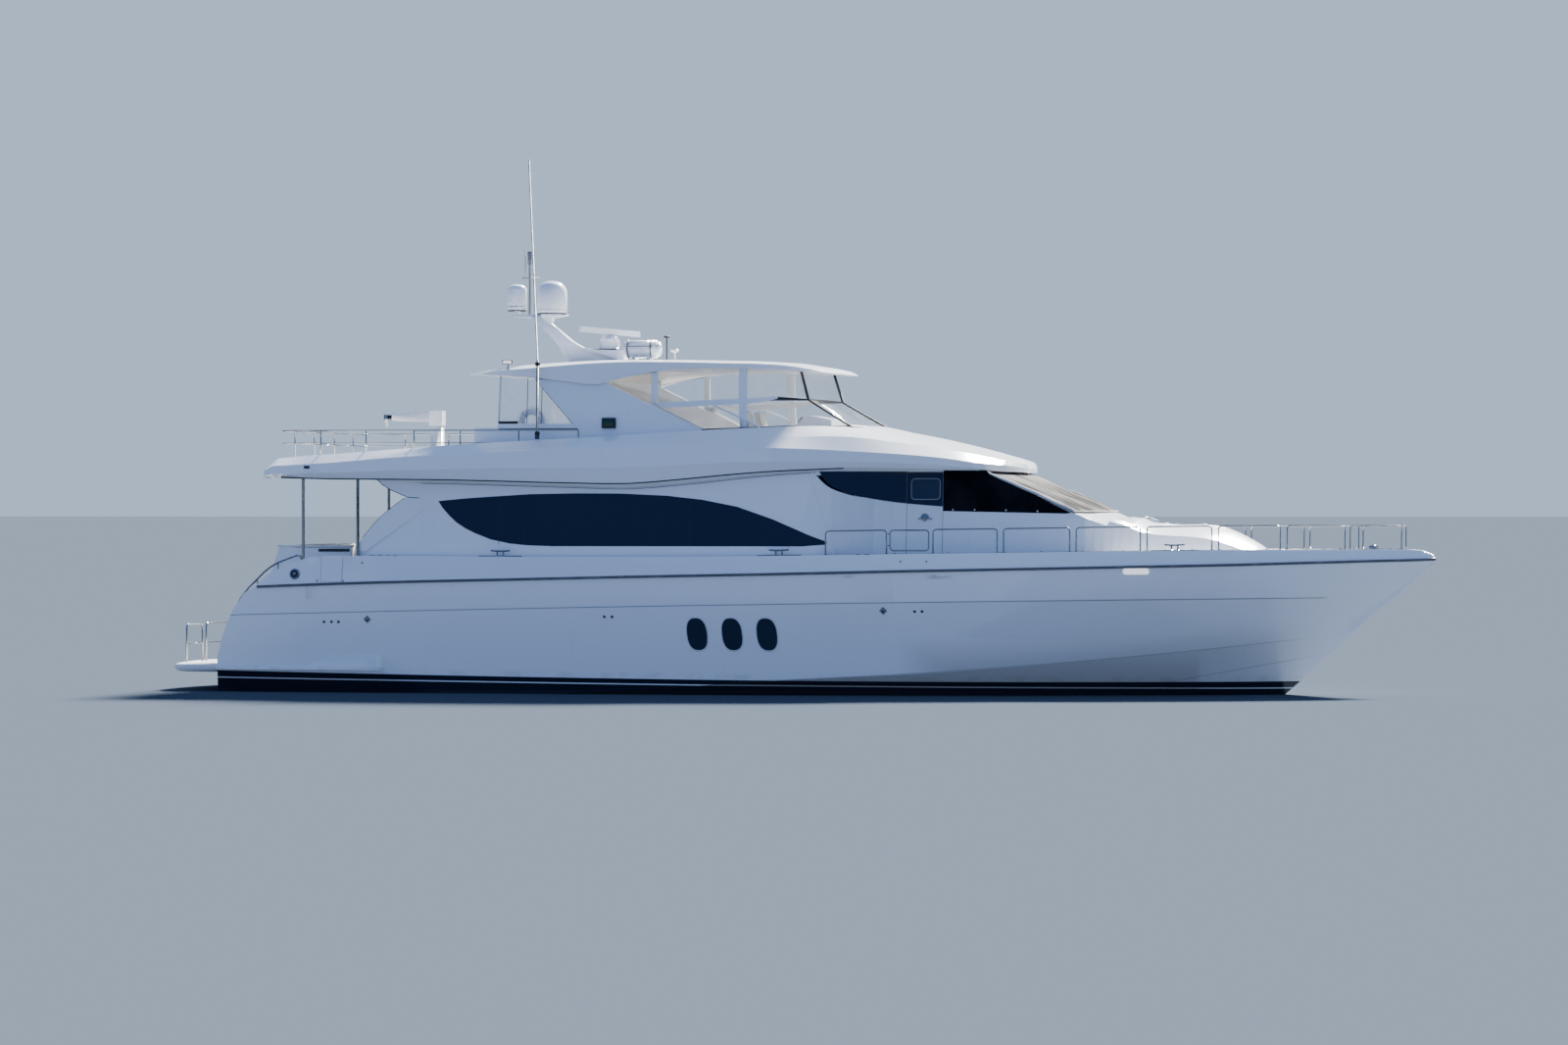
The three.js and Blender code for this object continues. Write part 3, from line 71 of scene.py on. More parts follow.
lens = bpy.data.cameras.new("camera")
lens.sensor_width = 36.0
lens.lens = lens.sensor_width * FOCAL / PHOTO_WIDTH
lens.clip_end = 6000.0
camera = bpy.data.objects.new("camera", lens)
bpy.context.scene.collection.objects.link(camera)
away = Vector((-math.sin(YAW), math.cos(YAW), 0))
right = Vector((math.cos(YAW), math.sin(YAW), 0))
camera.location = -DISTANCE * away - SIDE_STEP * right + EYE_HEIGHT * UP
look = (away - math.tan(PITCH) * UP).normalized()
camera.rotation_euler = look.to_track_quat("-Z", "Y").to_euler()
bpy.context.scene.camera = camera
print("camera at", [round(v, 2) for v in camera.location], "lens", round(lens.lens, 1), "mm")

# %% [markdown]
# Node trees read best as plain expressions. One small class wraps a socket and gives it +, - and *, so
# that a mask can be written as 1 - mask. A second one holds a tree and makes every other node, and the
# sky, the materials and Geometry Nodes all use it. A third one is the tree of a material, which starts
# from the places on its piece.

# %% Sockets that can be added and multiplied
class Wire:
    """A socket, or a number, in an expression."""

    def __init__(self, graph, socket):
        self.graph, self.socket = graph, socket

    def math(self, operation, *others):
        return self.graph.node("ShaderNodeMath", {"operation": operation}, dict(enumerate((self, *others))))

    def __add__(self, other):
        return self.math("ADD", other)

    def __sub__(self, other):
        return self.math("SUBTRACT", other)

    def __rsub__(self, other):
        return Wire(self.graph, other) - self

    def __mul__(self, other):
        return self.math("MULTIPLY", other)

    __radd__ = __add__
    __rmul__ = __mul__

    def abs(self):
        return self.math("ABSOLUTE")


class Graph:
    """A node tree under construction."""

    def __init__(self, tree):
        self.tree = tree

    def node(self, kind, settings, values, output=0):
        """Any node, from its type, its settings and the values or links of its sockets."""
        made = self.tree.nodes.new(kind)
        for name, value in settings.items():
            setattr(made, name, value)
        for key, value in values.items():
            self.feed(made.inputs[key], value)
        return Wire(self, made.outputs[output] if len(made.outputs) else None)

    def feed(self, socket, value):
        value = value.socket if isinstance(value, Wire) else value
        if isinstance(value, bpy.types.NodeSocket):
            self.tree.links.new(value, socket)
        else:
            socket.default_value = value

    def parts(self, vector):
        """A vector's x, y and z."""
        split = self.tree.nodes.new("ShaderNodeSeparateXYZ")
        self.feed(split.inputs[0], vector)
        return [Wire(self, output) for output in split.outputs]

    def step(self, value, low, high):
        """0 below low, 1 above high, and a smooth rise between."""
        settings = {"interpolation_type": "SMOOTHSTEP"}
        return self.node("ShaderNodeMapRange", settings, {"Value": value, "From Min": low, "From Max": high})

    def band(self, value, low, high, soft):
        """1 between low and high, 0 outside them, and soft at both ends."""
        return self.step(value, low - soft, low + soft) * (1 - self.step(value, high - soft, high + soft))

    def mix(self, factor, first, second):
        """A colour between two others, each of them a socket or three numbers."""
        first, second = ((*color, 1) if isinstance(color, tuple) else color for color in (first, second))
        return self.node("ShaderNodeMix", {"data_type": "RGBA"}, {0: factor, 6: first, 7: second}, 2)


class Paint(Graph):
    """A material under construction."""

    def __init__(self, name, **shader):
        self.material = bpy.data.materials.new(name)
        self.material.use_nodes = True
        super().__init__(self.material.node_tree)
        self.shader = self.tree.nodes["Principled BSDF"]
        self.set(**shader)
        self.place = self.node("ShaderNodeTexCoord", {}, {}, "Object")
        self.x, self.y, self.z = self.parts(self.place)

    def set(self, **values):
        """Values or links for the shader's sockets, whose names are written with underscores."""
        for name, value in values.items():
            self.feed(self.shader.inputs[name.replace("_", " ").title().replace("Ior", "IOR")], value)
        return self

    def noise(self, scale, detail=3.0, roughness=0.5, stretch=(1, 1, 1)):
        spread = self.node("ShaderNodeVectorMath", {"operation": "MULTIPLY"}, {0: self.place, 1: stretch})
        values = {"Vector": spread, "Scale": scale, "Detail": detail, "Roughness": roughness}
        return self.node("ShaderNodeTexNoise", {}, values)

    def bump(self, height, strength, distance):
        values = {"Height": height, "Strength": strength, "Distance": distance}
        return self.set(normal=self.node("ShaderNodeBump", {}, values))


print("node tools ready")

# %% [markdown]
# The floor stands for the water's surface, so it lies at z = 0 and cuts the hull there. It is plain and
# pale. White boats need a background that is darker than their lit tops. One broad soft sun stands high
# on the far side, and the studio's backdrop is paler on that side than on the camera's. So the tops come
# out bright and the near side falls into an even blue-grey, which is what shows its shape. A weak and
# very broad lamp from the near side does what the open basin does for the real boat, and a second one
# shines up from below, as light does that water throws back. They keep the flare of the bow from going
# black.

# %% Floor and light
FLOOR_HALF = 4000.0
FLOOR_COLOR = (0.062, 0.077, 0.099)
NEAR_SKY = (0.10, 0.21, 0.62)
FAR_SKY = (0.50, 0.64, 0.86)
ZENITH = (0.30, 0.48, 0.90)
SKY_BLENDS = [(1, -0.5, 0.7, FAR_SKY), (2, 0.15, 0.9, ZENITH)]  # axis, start and end of the blend, its colour
LAMPS = {  # where each comes from, its power, its width in degrees and its colour
    "sun_side": ((22.0, 71.0, 60.0), 28.0, 12.0, (1.0, 0.97, 0.92)),
    "bank_fill": ((-22.0, -56.0, 3.5), 0.5, 80.0, (0.50, 0.66, 1.0)),
    "water_glint": ((-4.0, -46.0, -34.0), 0.7, 80.0, (0.55, 0.70, 1.0)),
}

floor_paint = Paint("floor_paint", base_color=(*FLOOR_COLOR, 1), roughness=0.8, specular_ior_level=0.0)
floor_mesh = bpy.data.meshes.new("floor")
corners = [(x * FLOOR_HALF, y * FLOOR_HALF, 0.0) for x, y in ((-1, -1), (1, -1), (1, 1), (-1, 1))]
floor_mesh.from_pydata(corners, [], [(0, 1, 2, 3)])
floor_mesh.materials.append(floor_paint.material)
floor = bpy.data.objects.new("floor", floor_mesh)
bpy.context.scene.collection.objects.link(floor)
floor.visible_shadow = False  # the light that water throws up comes from below it

world = bpy.data.worlds.new("sky")
bpy.context.scene.world = world
world.use_nodes = True
sky = Graph(world.node_tree)
background = sky.tree.nodes["Background"]
background.inputs["Strength"].default_value = 1.0
direction = sky.parts(sky.node("ShaderNodeTexCoord", {}, {}, "Generated"))
color = NEAR_SKY
for axis, start, end, other in SKY_BLENDS:
    color = sky.mix(sky.step(direction[axis], start, end), color, other)
sky.feed(background.inputs["Color"], color)

for name, (source, power, width, tint) in LAMPS.items():
    lamp = bpy.data.lights.new(name, "SUN")
    lamp.angle = math.radians(width)
    lamp.energy = power
    lamp.color = tint
    holder = bpy.data.objects.new(name, lamp)
    holder.location = source
    holder.rotation_euler = (-Vector(source)).to_track_quat("-Z", "Y").to_euler()
    holder.visible_glossy = name == "sun_side"  # the fill lamps aren't mirrored in the windows
    bpy.context.scene.collection.objects.link(holder)
print("floor, sky and", len(LAMPS), "lamps")

# %% [markdown]
# Gelcoat is the outer layer of a moulded fibreglass boat: a thick white resin, hard and glossy, polished
# out of a mould. It isn't perfectly flat, so its reflections wander a little, and rain leaves faint grey
# runs under edges. A clear coat over a white base gives the gloss, a large slow noise in the bump gives
# the wander, and a stretched noise gives the runs.

# %% Gelcoat
WHITE = (0.82, 0.84, 0.86)


def weathered(paint, base, amount=1.0):
    """The base colour with rain runs and a slow change of tone."""
    runs = paint.step(paint.noise(2.2, 4.0, 0.6, (3.2, 3.2, 0.22)), 0.56, 0.78)
    tone = paint.noise(0.35, 2.0)
    aged = paint.mix(runs * (0.10 * amount), base, (0.50, 0.51, 0.50))
    return paint.mix(tone * 0.10, aged, (0.70, 0.74, 0.80))


def gelcoat(name, base=WHITE, roughness=0.22):
    paint = Paint(name, roughness=roughness, coat_weight=0.35, coat_roughness=0.06)
    paint.set(base_color=weathered(paint, base))
    paint.set(roughness=paint.noise(14, 3.0) * 0.10 + (roughness - 0.05))
    return paint.bump(paint.noise(0.7, 2.0), 0.12, 0.05).material


GELCOAT = gelcoat("gelcoat")
WARM_LINING = gelcoat("warm_lining", (0.70, 0.65, 0.59), 0.5)
print("gelcoat made")

# %% [markdown]
# The hull carries its own paint. Under the waterline there is black antifouling, then a black boot top
# with a thin white line in it, and above that the white topsides with one fine knuckle groove from end to
# end, its dark colour painted shade in the groove. Painted shade lines also follow the two knuckles at the
# bow. All of them are functions of x and z, so the shader draws them, and they stay sharp at any
# distance. The colour change is a mask of the height over a slanting line.

# %% Hull paint
BOOT_TOP = (0.2795, -0.00704, 0.00045)  # height amidships, then what x and its square add
BOOT_LINE = (0.179, -0.00729, 0.00015)
BOOT_LINE_HALF = 0.011
GROOVE = (1.7104, 0.01758, -0.0005)
# Painted shade: dark lines along the knuckles at the bow, where the light changes across the edges.
KNUCKLE_SHADE_LINES = [((0.284, 0.042, 0.0038), -0.5), ((-1.0998, 0.1835, 0.0), 7.3)]  # heights, and where each starts
KNUCKLE_END = 9.8
SCUFFS = [(1.31, 1.74), (3.15, 3.58)]  # under the strake, where fenders have rubbed
SCUFF_BAND = (2.20, 2.29)
ANTIFOULING = (0.010, 0.011, 0.013)
BOOT_BLACK = (0.004, 0.006, 0.012)


def over_line(paint, line):
    """The height over a line along the hull, from its three terms."""
    a, b, c = line
    return paint.z - (paint.x * (paint.x * c + b) + a)


def hull_paint():
    paint = Paint("hull_paint", roughness=0.2, coat_weight=0.35, coat_roughness=0.06)
    over_boot = over_line(paint, BOOT_TOP)
    white = paint.step(over_boot, -0.004, 0.004)
    stripe = paint.band(over_line(paint, BOOT_LINE), -BOOT_LINE_HALF, BOOT_LINE_HALF, 0.003)
    groove = paint.band(over_line(paint, GROOVE), -0.008, 0.008, 0.004)
    outside = paint.step(paint.y.abs(), 0.9, 1.0) * paint.step(paint.z, 1.2, 1.3)
    rub = paint.step(paint.noise(5.0, 4.0, 0.6, (0.6, 1, 2.2)), 0.42, 0.62)
    topsides = weathered(paint, WHITE, 0.7)
    for low, high in SCUFFS:
        smudge = paint.band(paint.z, *SCUFF_BAND, 0.03) * paint.band(paint.x, low, high, 0.12)
        topsides = paint.mix(rub * smudge * 0.55, topsides, (0.30, 0.28, 0.25))
    scum = paint.band(over_boot, 0.0, 0.10, 0.05) * paint.step(paint.noise(3.0, 5.0), 0.45, 0.7)
    topsides = paint.mix(scum * 0.30, topsides, (0.42, 0.40, 0.32))
    # The groove is pressed in by the bump; its dark colour is painted shade in the groove.
    topsides = paint.mix(groove * outside * 0.8, topsides, (0.12, 0.14, 0.16))
    # Each knuckle line is painted shade, fading out towards its ends.
    for line, start in KNUCKLE_SHADE_LINES:
        shade = paint.band(over_line(paint, line), -0.006, 0.006, 0.004)
        shade = shade * paint.band(paint.x, start, KNUCKLE_END, 0.4)
        topsides = paint.mix(shade * 0.5, topsides, (0.16, 0.18, 0.20))
    boot = paint.mix(paint.step(paint.z, -0.02, 0.05), ANTIFOULING, BOOT_BLACK)
    boot = paint.mix(stripe, boot, (0.72, 0.74, 0.76))
    paint.set(base_color=paint.mix(white, boot, topsides))
    paint.set(roughness=paint.noise(9, 3.0) * 0.12 + (1 - paint.step(paint.z, 0.0, 0.1)) * 0.5 + 0.12)
    height = paint.noise(0.7, 2.0) * 0.4 - groove * outside
    return paint.bump(height, 0.25, 0.03).material


HULL_PAINT = hull_paint()
print("hull paint made")

# %% [markdown]
# The other finishes. Non-skid is a fine moulded grain of raised grit. Tinted glass is nearly black from
# outside, so it is a dark, very smooth surface and not a see-through one. Clear curtain vinyl and the
# flybridge's clear panes let the light through. Stainless tube is a mirror with faint water spots.

# %% Other finishes
def non_skid():
    paint = Paint("non_skid", roughness=0.7)
    grain = paint.node("ShaderNodeTexVoronoi", {}, {"Vector": paint.place, "Scale": 160.0})
    stains = paint.step(paint.noise(1.4, 5.0), 0.48, 0.75)
    paint.set(base_color=paint.mix(stains * 0.25, (0.66, 0.67, 0.67), (0.47, 0.46, 0.43)))
    return paint.bump(1 - grain, 0.35, 0.004).material


def dark_glass(name, deep, pale):
    paint = Paint(name, roughness=0.04, ior=1.5)
    smear = paint.noise(0.8, 3.0, 0.5, (1, 1, 0.5))
    paint.set(base_color=paint.mix(smear, deep, pale))
    paint.set(roughness=paint.step(paint.noise(6, 3.0), 0.4, 0.9) * 0.05 + 0.03)
    return paint.bump(paint.noise(0.5, 1.0), 0.06, 0.03).material


def clear_sheet(name, alpha, color):
    paint = Paint(name, roughness=0.05)
    haze = paint.step(paint.noise(2.0, 4.0), 0.45, 0.85)
    paint.set(base_color=paint.mix(haze, color, (0.80, 0.83, 0.85)))
    paint.set(alpha=haze * 0.10 + alpha)
    return paint.bump(paint.noise(2.5, 2.0), 0.25, 0.02).material


def stainless():
    paint = Paint("stainless", metallic=1.0, roughness=0.16)
    spots = paint.step(paint.noise(30, 4.0), 0.55, 0.75)
    paint.set(base_color=paint.mix(spots * 0.6, (0.34, 0.34, 0.33), (0.24, 0.23, 0.21)))
    paint.set(roughness=spots * 0.2 + 0.14)
    return paint.material


def strake_finish():
    paint = Paint("strake_finish", roughness=0.4)
    scuff = paint.step(paint.noise(7, 5.0, 0.6, (0.4, 1, 1)), 0.5, 0.7)
    paint.set(base_color=paint.mix(scuff, (0.075, 0.078, 0.085), (0.15, 0.15, 0.155)))
    return paint.bump(paint.noise(40, 3.0), 0.15, 0.004).material


WEAVE_SCALE = 1 / 0.004 / 6.28  # threads 8 mm apart, because a band's wave is 0.314 long at a scale of 1


def mesh_cloth(name, dark, light):
    """Open-weave screen cloth: a grid of threads, with painted shade and highlight of folds in its colour."""
    paint = Paint(name, roughness=0.85, specular_ior_level=0.0)
    values = {"Vector": paint.place, "Scale": WEAVE_SCALE}
    threads = {"wave_type": "BANDS", "wave_profile": "SIN"}
    warp, weft = (paint.node("ShaderNodeTexWave", {**threads, "bands_direction": axis}, values)
                  for axis in "XZ")
    # Light and dark bands along the cloth are painted shade and highlight of folds.
    fold = paint.noise(1.6, 4.0, 0.6, (0.5, 3.0, 0.5))
    paint.set(base_color=paint.mix(paint.step(fold, 0.42, 0.58), dark, light))
    return paint.bump(warp * weft, 0.3, 0.002).material


def plastic(name, color, roughness=0.45):
    paint = Paint(name, roughness=roughness)
    shade = tuple(v * 0.72 for v in color)
    paint.set(base_color=paint.mix(paint.noise(6, 4.0), color, shade))
    return paint.bump(paint.noise(90, 2.0), 0.2, 0.002).material


def bronze():
    paint = Paint("bronze", metallic=0.85, roughness=0.35)
    tarnish = paint.step(paint.noise(5, 5.0), 0.4, 0.7)
    paint.set(base_color=paint.mix(tarnish, (0.46, 0.29, 0.12), (0.16, 0.17, 0.11)))
    paint.set(roughness=tarnish * 0.3 + 0.28)
    return paint.bump(paint.noise(60, 3.0), 0.2, 0.003).material


def upholstery(name, color):
    """Marine vinyl: a fine pebbled skin, darker where it creases."""
    paint = Paint(name, roughness=0.5, coat_weight=0.15)
    pebble = paint.node("ShaderNodeTexVoronoi", {}, {"Vector": paint.place, "Scale": 420.0})
    worn = paint.step(paint.noise(2.4, 4.0), 0.5, 0.8)
    shade = tuple(v * 0.82 for v in color)
    paint.set(base_color=paint.mix(worn * 0.6, color, shade))
    return paint.bump(pebble, 0.25, 0.001).material


NON_SKID = non_skid()
STEEL = stainless()
NAVY_GLASS = dark_glass("navy_glass", (0.0025, 0.005, 0.011), (0.006, 0.012, 0.024))
SMOKED_GLASS = dark_glass("smoked_glass", (0.010, 0.018, 0.030), (0.018, 0.030, 0.046))
VINYL = upholstery("marine_vinyl", (0.72, 0.70, 0.64))
FINISH = {
    "gelcoat": GELCOAT,
    "deck": NON_SKID,
    "strake": strake_finish(),
    "dark_glass": NAVY_GLASS,
    "clear_glass": clear_sheet("clear_pane", 0.07, (0.45, 0.52, 0.56)),
    "mesh_cover": mesh_cloth("screen_cloth", (0.060, 0.059, 0.056), (0.20, 0.195, 0.187)),
    "stainless": STEEL,
    "bronze": bronze(),
    "vinyl": VINYL,
}
BLACK_MESH = mesh_cloth("black_screen_cloth", (0.004, 0.005, 0.007), (0.010, 0.011, 0.014))
PIPING_CLOTH = mesh_cloth("piping_cloth", (0.52, 0.51, 0.48), (0.66, 0.65, 0.62))
BLACK_PLASTIC = plastic("black_plastic", (0.010, 0.010, 0.012))
GREY_PLASTIC = plastic("grey_plastic", (0.20, 0.21, 0.22))
WHITE_PLASTIC = plastic("white_plastic", (0.78, 0.79, 0.80), 0.3)
RUBBER = plastic("black_rubber", (0.025, 0.028, 0.034), 0.6)
CREAM_TRIM = plastic("cream_trim", (0.62, 0.56, 0.44), 0.5)
SHADE_DARK_POLE = plastic("dark_pole", (0.05, 0.06, 0.08), 0.4)
GREEN_LENS = plastic("green_lens", (0.005, 0.05, 0.025), 0.15)
RED_LENS = plastic("red_lens", (0.08, 0.006, 0.006), 0.15)
CURTAIN = clear_sheet("curtain_vinyl", 0.16, (0.62, 0.66, 0.68))
GLOWING_LAMP_LENS = gelcoat("lamp_lens", (0.95, 0.96, 0.97), 0.1)
# The lens finish glows faintly. This is painted light: it makes the slot lamps and the floodlight's lens as
# bright as sunlit lenses.
lens_shader = GLOWING_LAMP_LENS.node_tree.nodes["Principled BSDF"]
lens_shader.inputs["Emission Color"].default_value = (1.0, 0.98, 0.95, 1.0)
lens_shader.inputs["Emission Strength"].default_value = 0.9
print(len(bpy.data.materials), "materials so far")

# %% [markdown]
# Each node of the frame names the slot that it belongs to, so one table of finishes by slot dresses them
# all. Only the hull's mouldings, which share the paint with the boot top, and the whip antenna's pole,
# whose dark colour is partly painted shade, are set by name.

# %% Every node of the frame gets its slot's finish
def pair(*names):
    """The starboard and the port piece of each name."""
    return [f"{name}_{word}" for name in names for word in SIDES]


SLOT_OF = {row["node"]: row["material_slot"] for row in frame["record"]["subparts"]}
HULL_NODES = ["hull", "stern_moulding", *pair("bulwark")]
for name, node in NODES.items():
    node.data.materials.clear()
    node.data.materials.append(HULL_PAINT if name in HULL_NODES else FINISH[SLOT_OF[name]])
# The whip's pole is painted dark, partly as painted shade.
NODES["whip_antenna"].data.materials[0] = SHADE_DARK_POLE
print("finishes on", len(NODES), "nodes")

# %% [markdown]
# The construction's solids are made of flat facets. On a real moulding they flow together, so the glossy
# pieces are shown by a copy whose facets share their corners: shading then runs smoothly over them, and
# stays sharp where two of them meet at more than a set angle. The shape is the same. A copy can also
# carry a second finish on the faces that a rule picks out, such as non-skid on what is walked on.

# %% Smooth copies of the moulded pieces
SMOOTH_ANGLE = 32.0  # degrees, and an edge past it stays sharp
PANE_ANGLE = 60.0
BAR_ANGLE = 70.0


def finished(name, mesh, body, angle):
    """Puts a mesh in the scene as a piece of that body."""
    mesh.shade_smooth()
    mesh.set_sharp_from_angle(angle=math.radians(angle))
    piece = bpy.data.objects.new(name, mesh)
    bpy.context.scene.collection.objects.link(piece)
    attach(piece, body)
    return piece


def smooth_copy(node, angle, others=()):
    mesh = NODES[node].data.copy()
    work = bmesh.new()
    work.from_mesh(mesh)
    bmesh.ops.remove_doubles(work, verts=work.verts, dist=1e-5)
    for index, (finish, where) in enumerate(others, 1):
        mesh.materials.append(finish)
        for face in work.faces:
            face.normal_update()
            if where(face.calc_center_median(), face.normal):
                face.material_index = index
    work.to_mesh(mesh)
    work.free()
    piece = finished(f"{node}_skin", mesh, BODY_OF[node], angle)
    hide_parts(node)


def level(normal):
    """Whether a face can be stood on."""
    return normal.z > 0.98


BOAT_DECK_Z = 4.32
WHEEL_MIDDLE, WHEEL_REACH = Vector((0.07, -0.5, 5.07)), 0.235
SECOND_FINISH = {  # a finish, and the rule that picks its faces by their middle and normal
    "hull": [(NON_SKID, lambda c, n: level(n) and 0.4 < c.z < 2.5)],  # the decks
    "stern_moulding": [(NON_SKID, lambda c, n: level(n) and 0.4 < c.z < 2.0 and abs(c.y) < 2.62)],  # stairs
    "swim_platform": [(NON_SKID, lambda c, n: level(n) and c.z > 0.4)],
    "bridge_moulding": [(NON_SKID, lambda c, n: level(n) and abs(c.z - BOAT_DECK_Z) < 0.02),
                        (STEEL, lambda c, n: c.z < 3.95)],  # the posts over the aft deck
    "hardtop": [(WARM_LINING, lambda c, n: n.z < -0.5)],  # its underside
    "trunk": [(NON_SKID, lambda c, n: n.z > 0.93 and abs(c.y) < 0.55 and 6.6 < c.x < 8.4)],
    "bridge_frame": [(BLACK_PLASTIC, lambda c, n: c.x > -0.10 and c.z > 5.0)],  # round the panes
    # The strake's upward faces are white: a painted highlight where the light falls on its top.
    "rubbing_strake": [(WHITE_PLASTIC, lambda c, n: n.z > 0.4)],  # its upper face
    "mast": [(GREY_PLASTIC, lambda c, n: c.z > 7.40)],  # the radar's pedestal
    "bridge_console": [(STEEL, lambda c, n: (c - WHEEL_MIDDLE).length < WHEEL_REACH)],
}
GLASSES = [*pair("salon_window"), "windscreen", "salon_door", "bridge_glass"]
ROUND_BARS = [*pair("bow_rail", "rail_gate"), "boat_deck_rail", "platform_rail_short", "platform_rail_long",
              "whip_antenna", "windlass", "davit_reach"]
MOULDED = [*HULL_NODES, "bridge_moulding", "hardtop", "trunk", "mast", "dome_large", "dome_small", "liferaft",
           "radar_array", "davit_column", "davit_boom", "swim_platform", "rubbing_strake", "transom_door",
           "salon_bulkhead", "bridge_console", "bridge_frame",
           *pair("hardtop_wing", "salon_side", "pilothouse_side", "side_door", "boarding_gate", "propeller",
                 "rudder", "shaft")]
ANGLES = {"bridge_moulding": 15.0, "hardtop": 18.0, "hull": 18.0, "trunk": 24.0, "stern_moulding": 18.0}
for node in MOULDED + GLASSES:
    smooth_copy(node, ANGLES.get(node, SMOOTH_ANGLE), SECOND_FINISH.get(node, ()))
for node in ROUND_BARS:
    smooth_copy(node, BAR_ANGLE)
print("smooth copies:", len(MOULDED + GLASSES + ROUND_BARS))

# %% [markdown]
# Small gear has to sit on curved walls. A ray shot at a wall finds the place and the way out there, which
# is surer than repeating the wall's formula: when the hull changes, the gear follows. The house's side is
# straight from top to bottom at each place along the boat, so two rays give the whole line, also where a
# window is cut out.

# %% Places on the hull and on the house
def surface(nodes):
    """The shape of some nodes, for rays to be shot at."""
    places, faces = [], []
    for node in nodes:
        mesh = NODES[node].data
        first = len(places)
        places += [vertex.co.copy() for vertex in mesh.vertices]
        faces += [[first + index for index in face.vertices] for face in mesh.polygons]
    return BVHTree.FromPolygons(places, faces)


OUTER = surface(HULL_NODES)
HOUSE = surface(pair("salon_side", "pilothouse_side", "side_door"))
BRIDGE = surface(["bridge_moulding"])
ROOF = surface(["hardtop"])
FAR_OUT = 6.0  # clear of the hull's side
LOW_RAY = 2.65
HIGH_RAYS = (3.9, 3.35)  # aft of the split and forward of it, clear of the windows
SPLIT_X = 0.9


def shoot_in(tree, x, z, side):
    """Where a level ray from one side meets a surface, and the way out there."""
    return tree.ray_cast(Vector((x, side * FAR_OUT, z)), Vector((0, -side, 0)))[:2]


def wall_y(x, z, side):
    """Where the house's outer face is, at any height."""
    low, high = LOW_RAY, HIGH_RAYS[0] if x < SPLIT_X else HIGH_RAYS[1]
    at_low, at_high = (shoot_in(HOUSE, x, height, side)[0].y for height in (low, high))
    return at_low + (at_high - at_low) * (z - low) / (high - low)


print("wall at the side door:", round(wall_y(2.9, 3.5, -1), 3))

# %% [markdown]
# Loose parts are collected in one mesh for each body. Closed forms of a few kinds cover most fittings:
# turned ones on an axis, blocks with soft edges, panels cut to an outline that lie on the house's side,
# round bars and studs. Each is added with its own finish, and its faces are turned outwards at the end.

# %% A mesh made of closed forms
PANEL_CUT = 0.12  # how far apart a panel is cut, to bend with what it lies on


def turns(count, more=0):
    """Angles evenly round a circle, and with one more the first comes again."""
    return [2 * math.pi * k / count for k in range(count + more)]


def round_axis(axis, count, more=0):
    """Ways straight out from an axis, evenly round it."""
    across = axis.orthogonal().normalized()
    other = axis.cross(across)
    return [across * math.cos(t) + other * math.sin(t) for t in turns(count, more)]


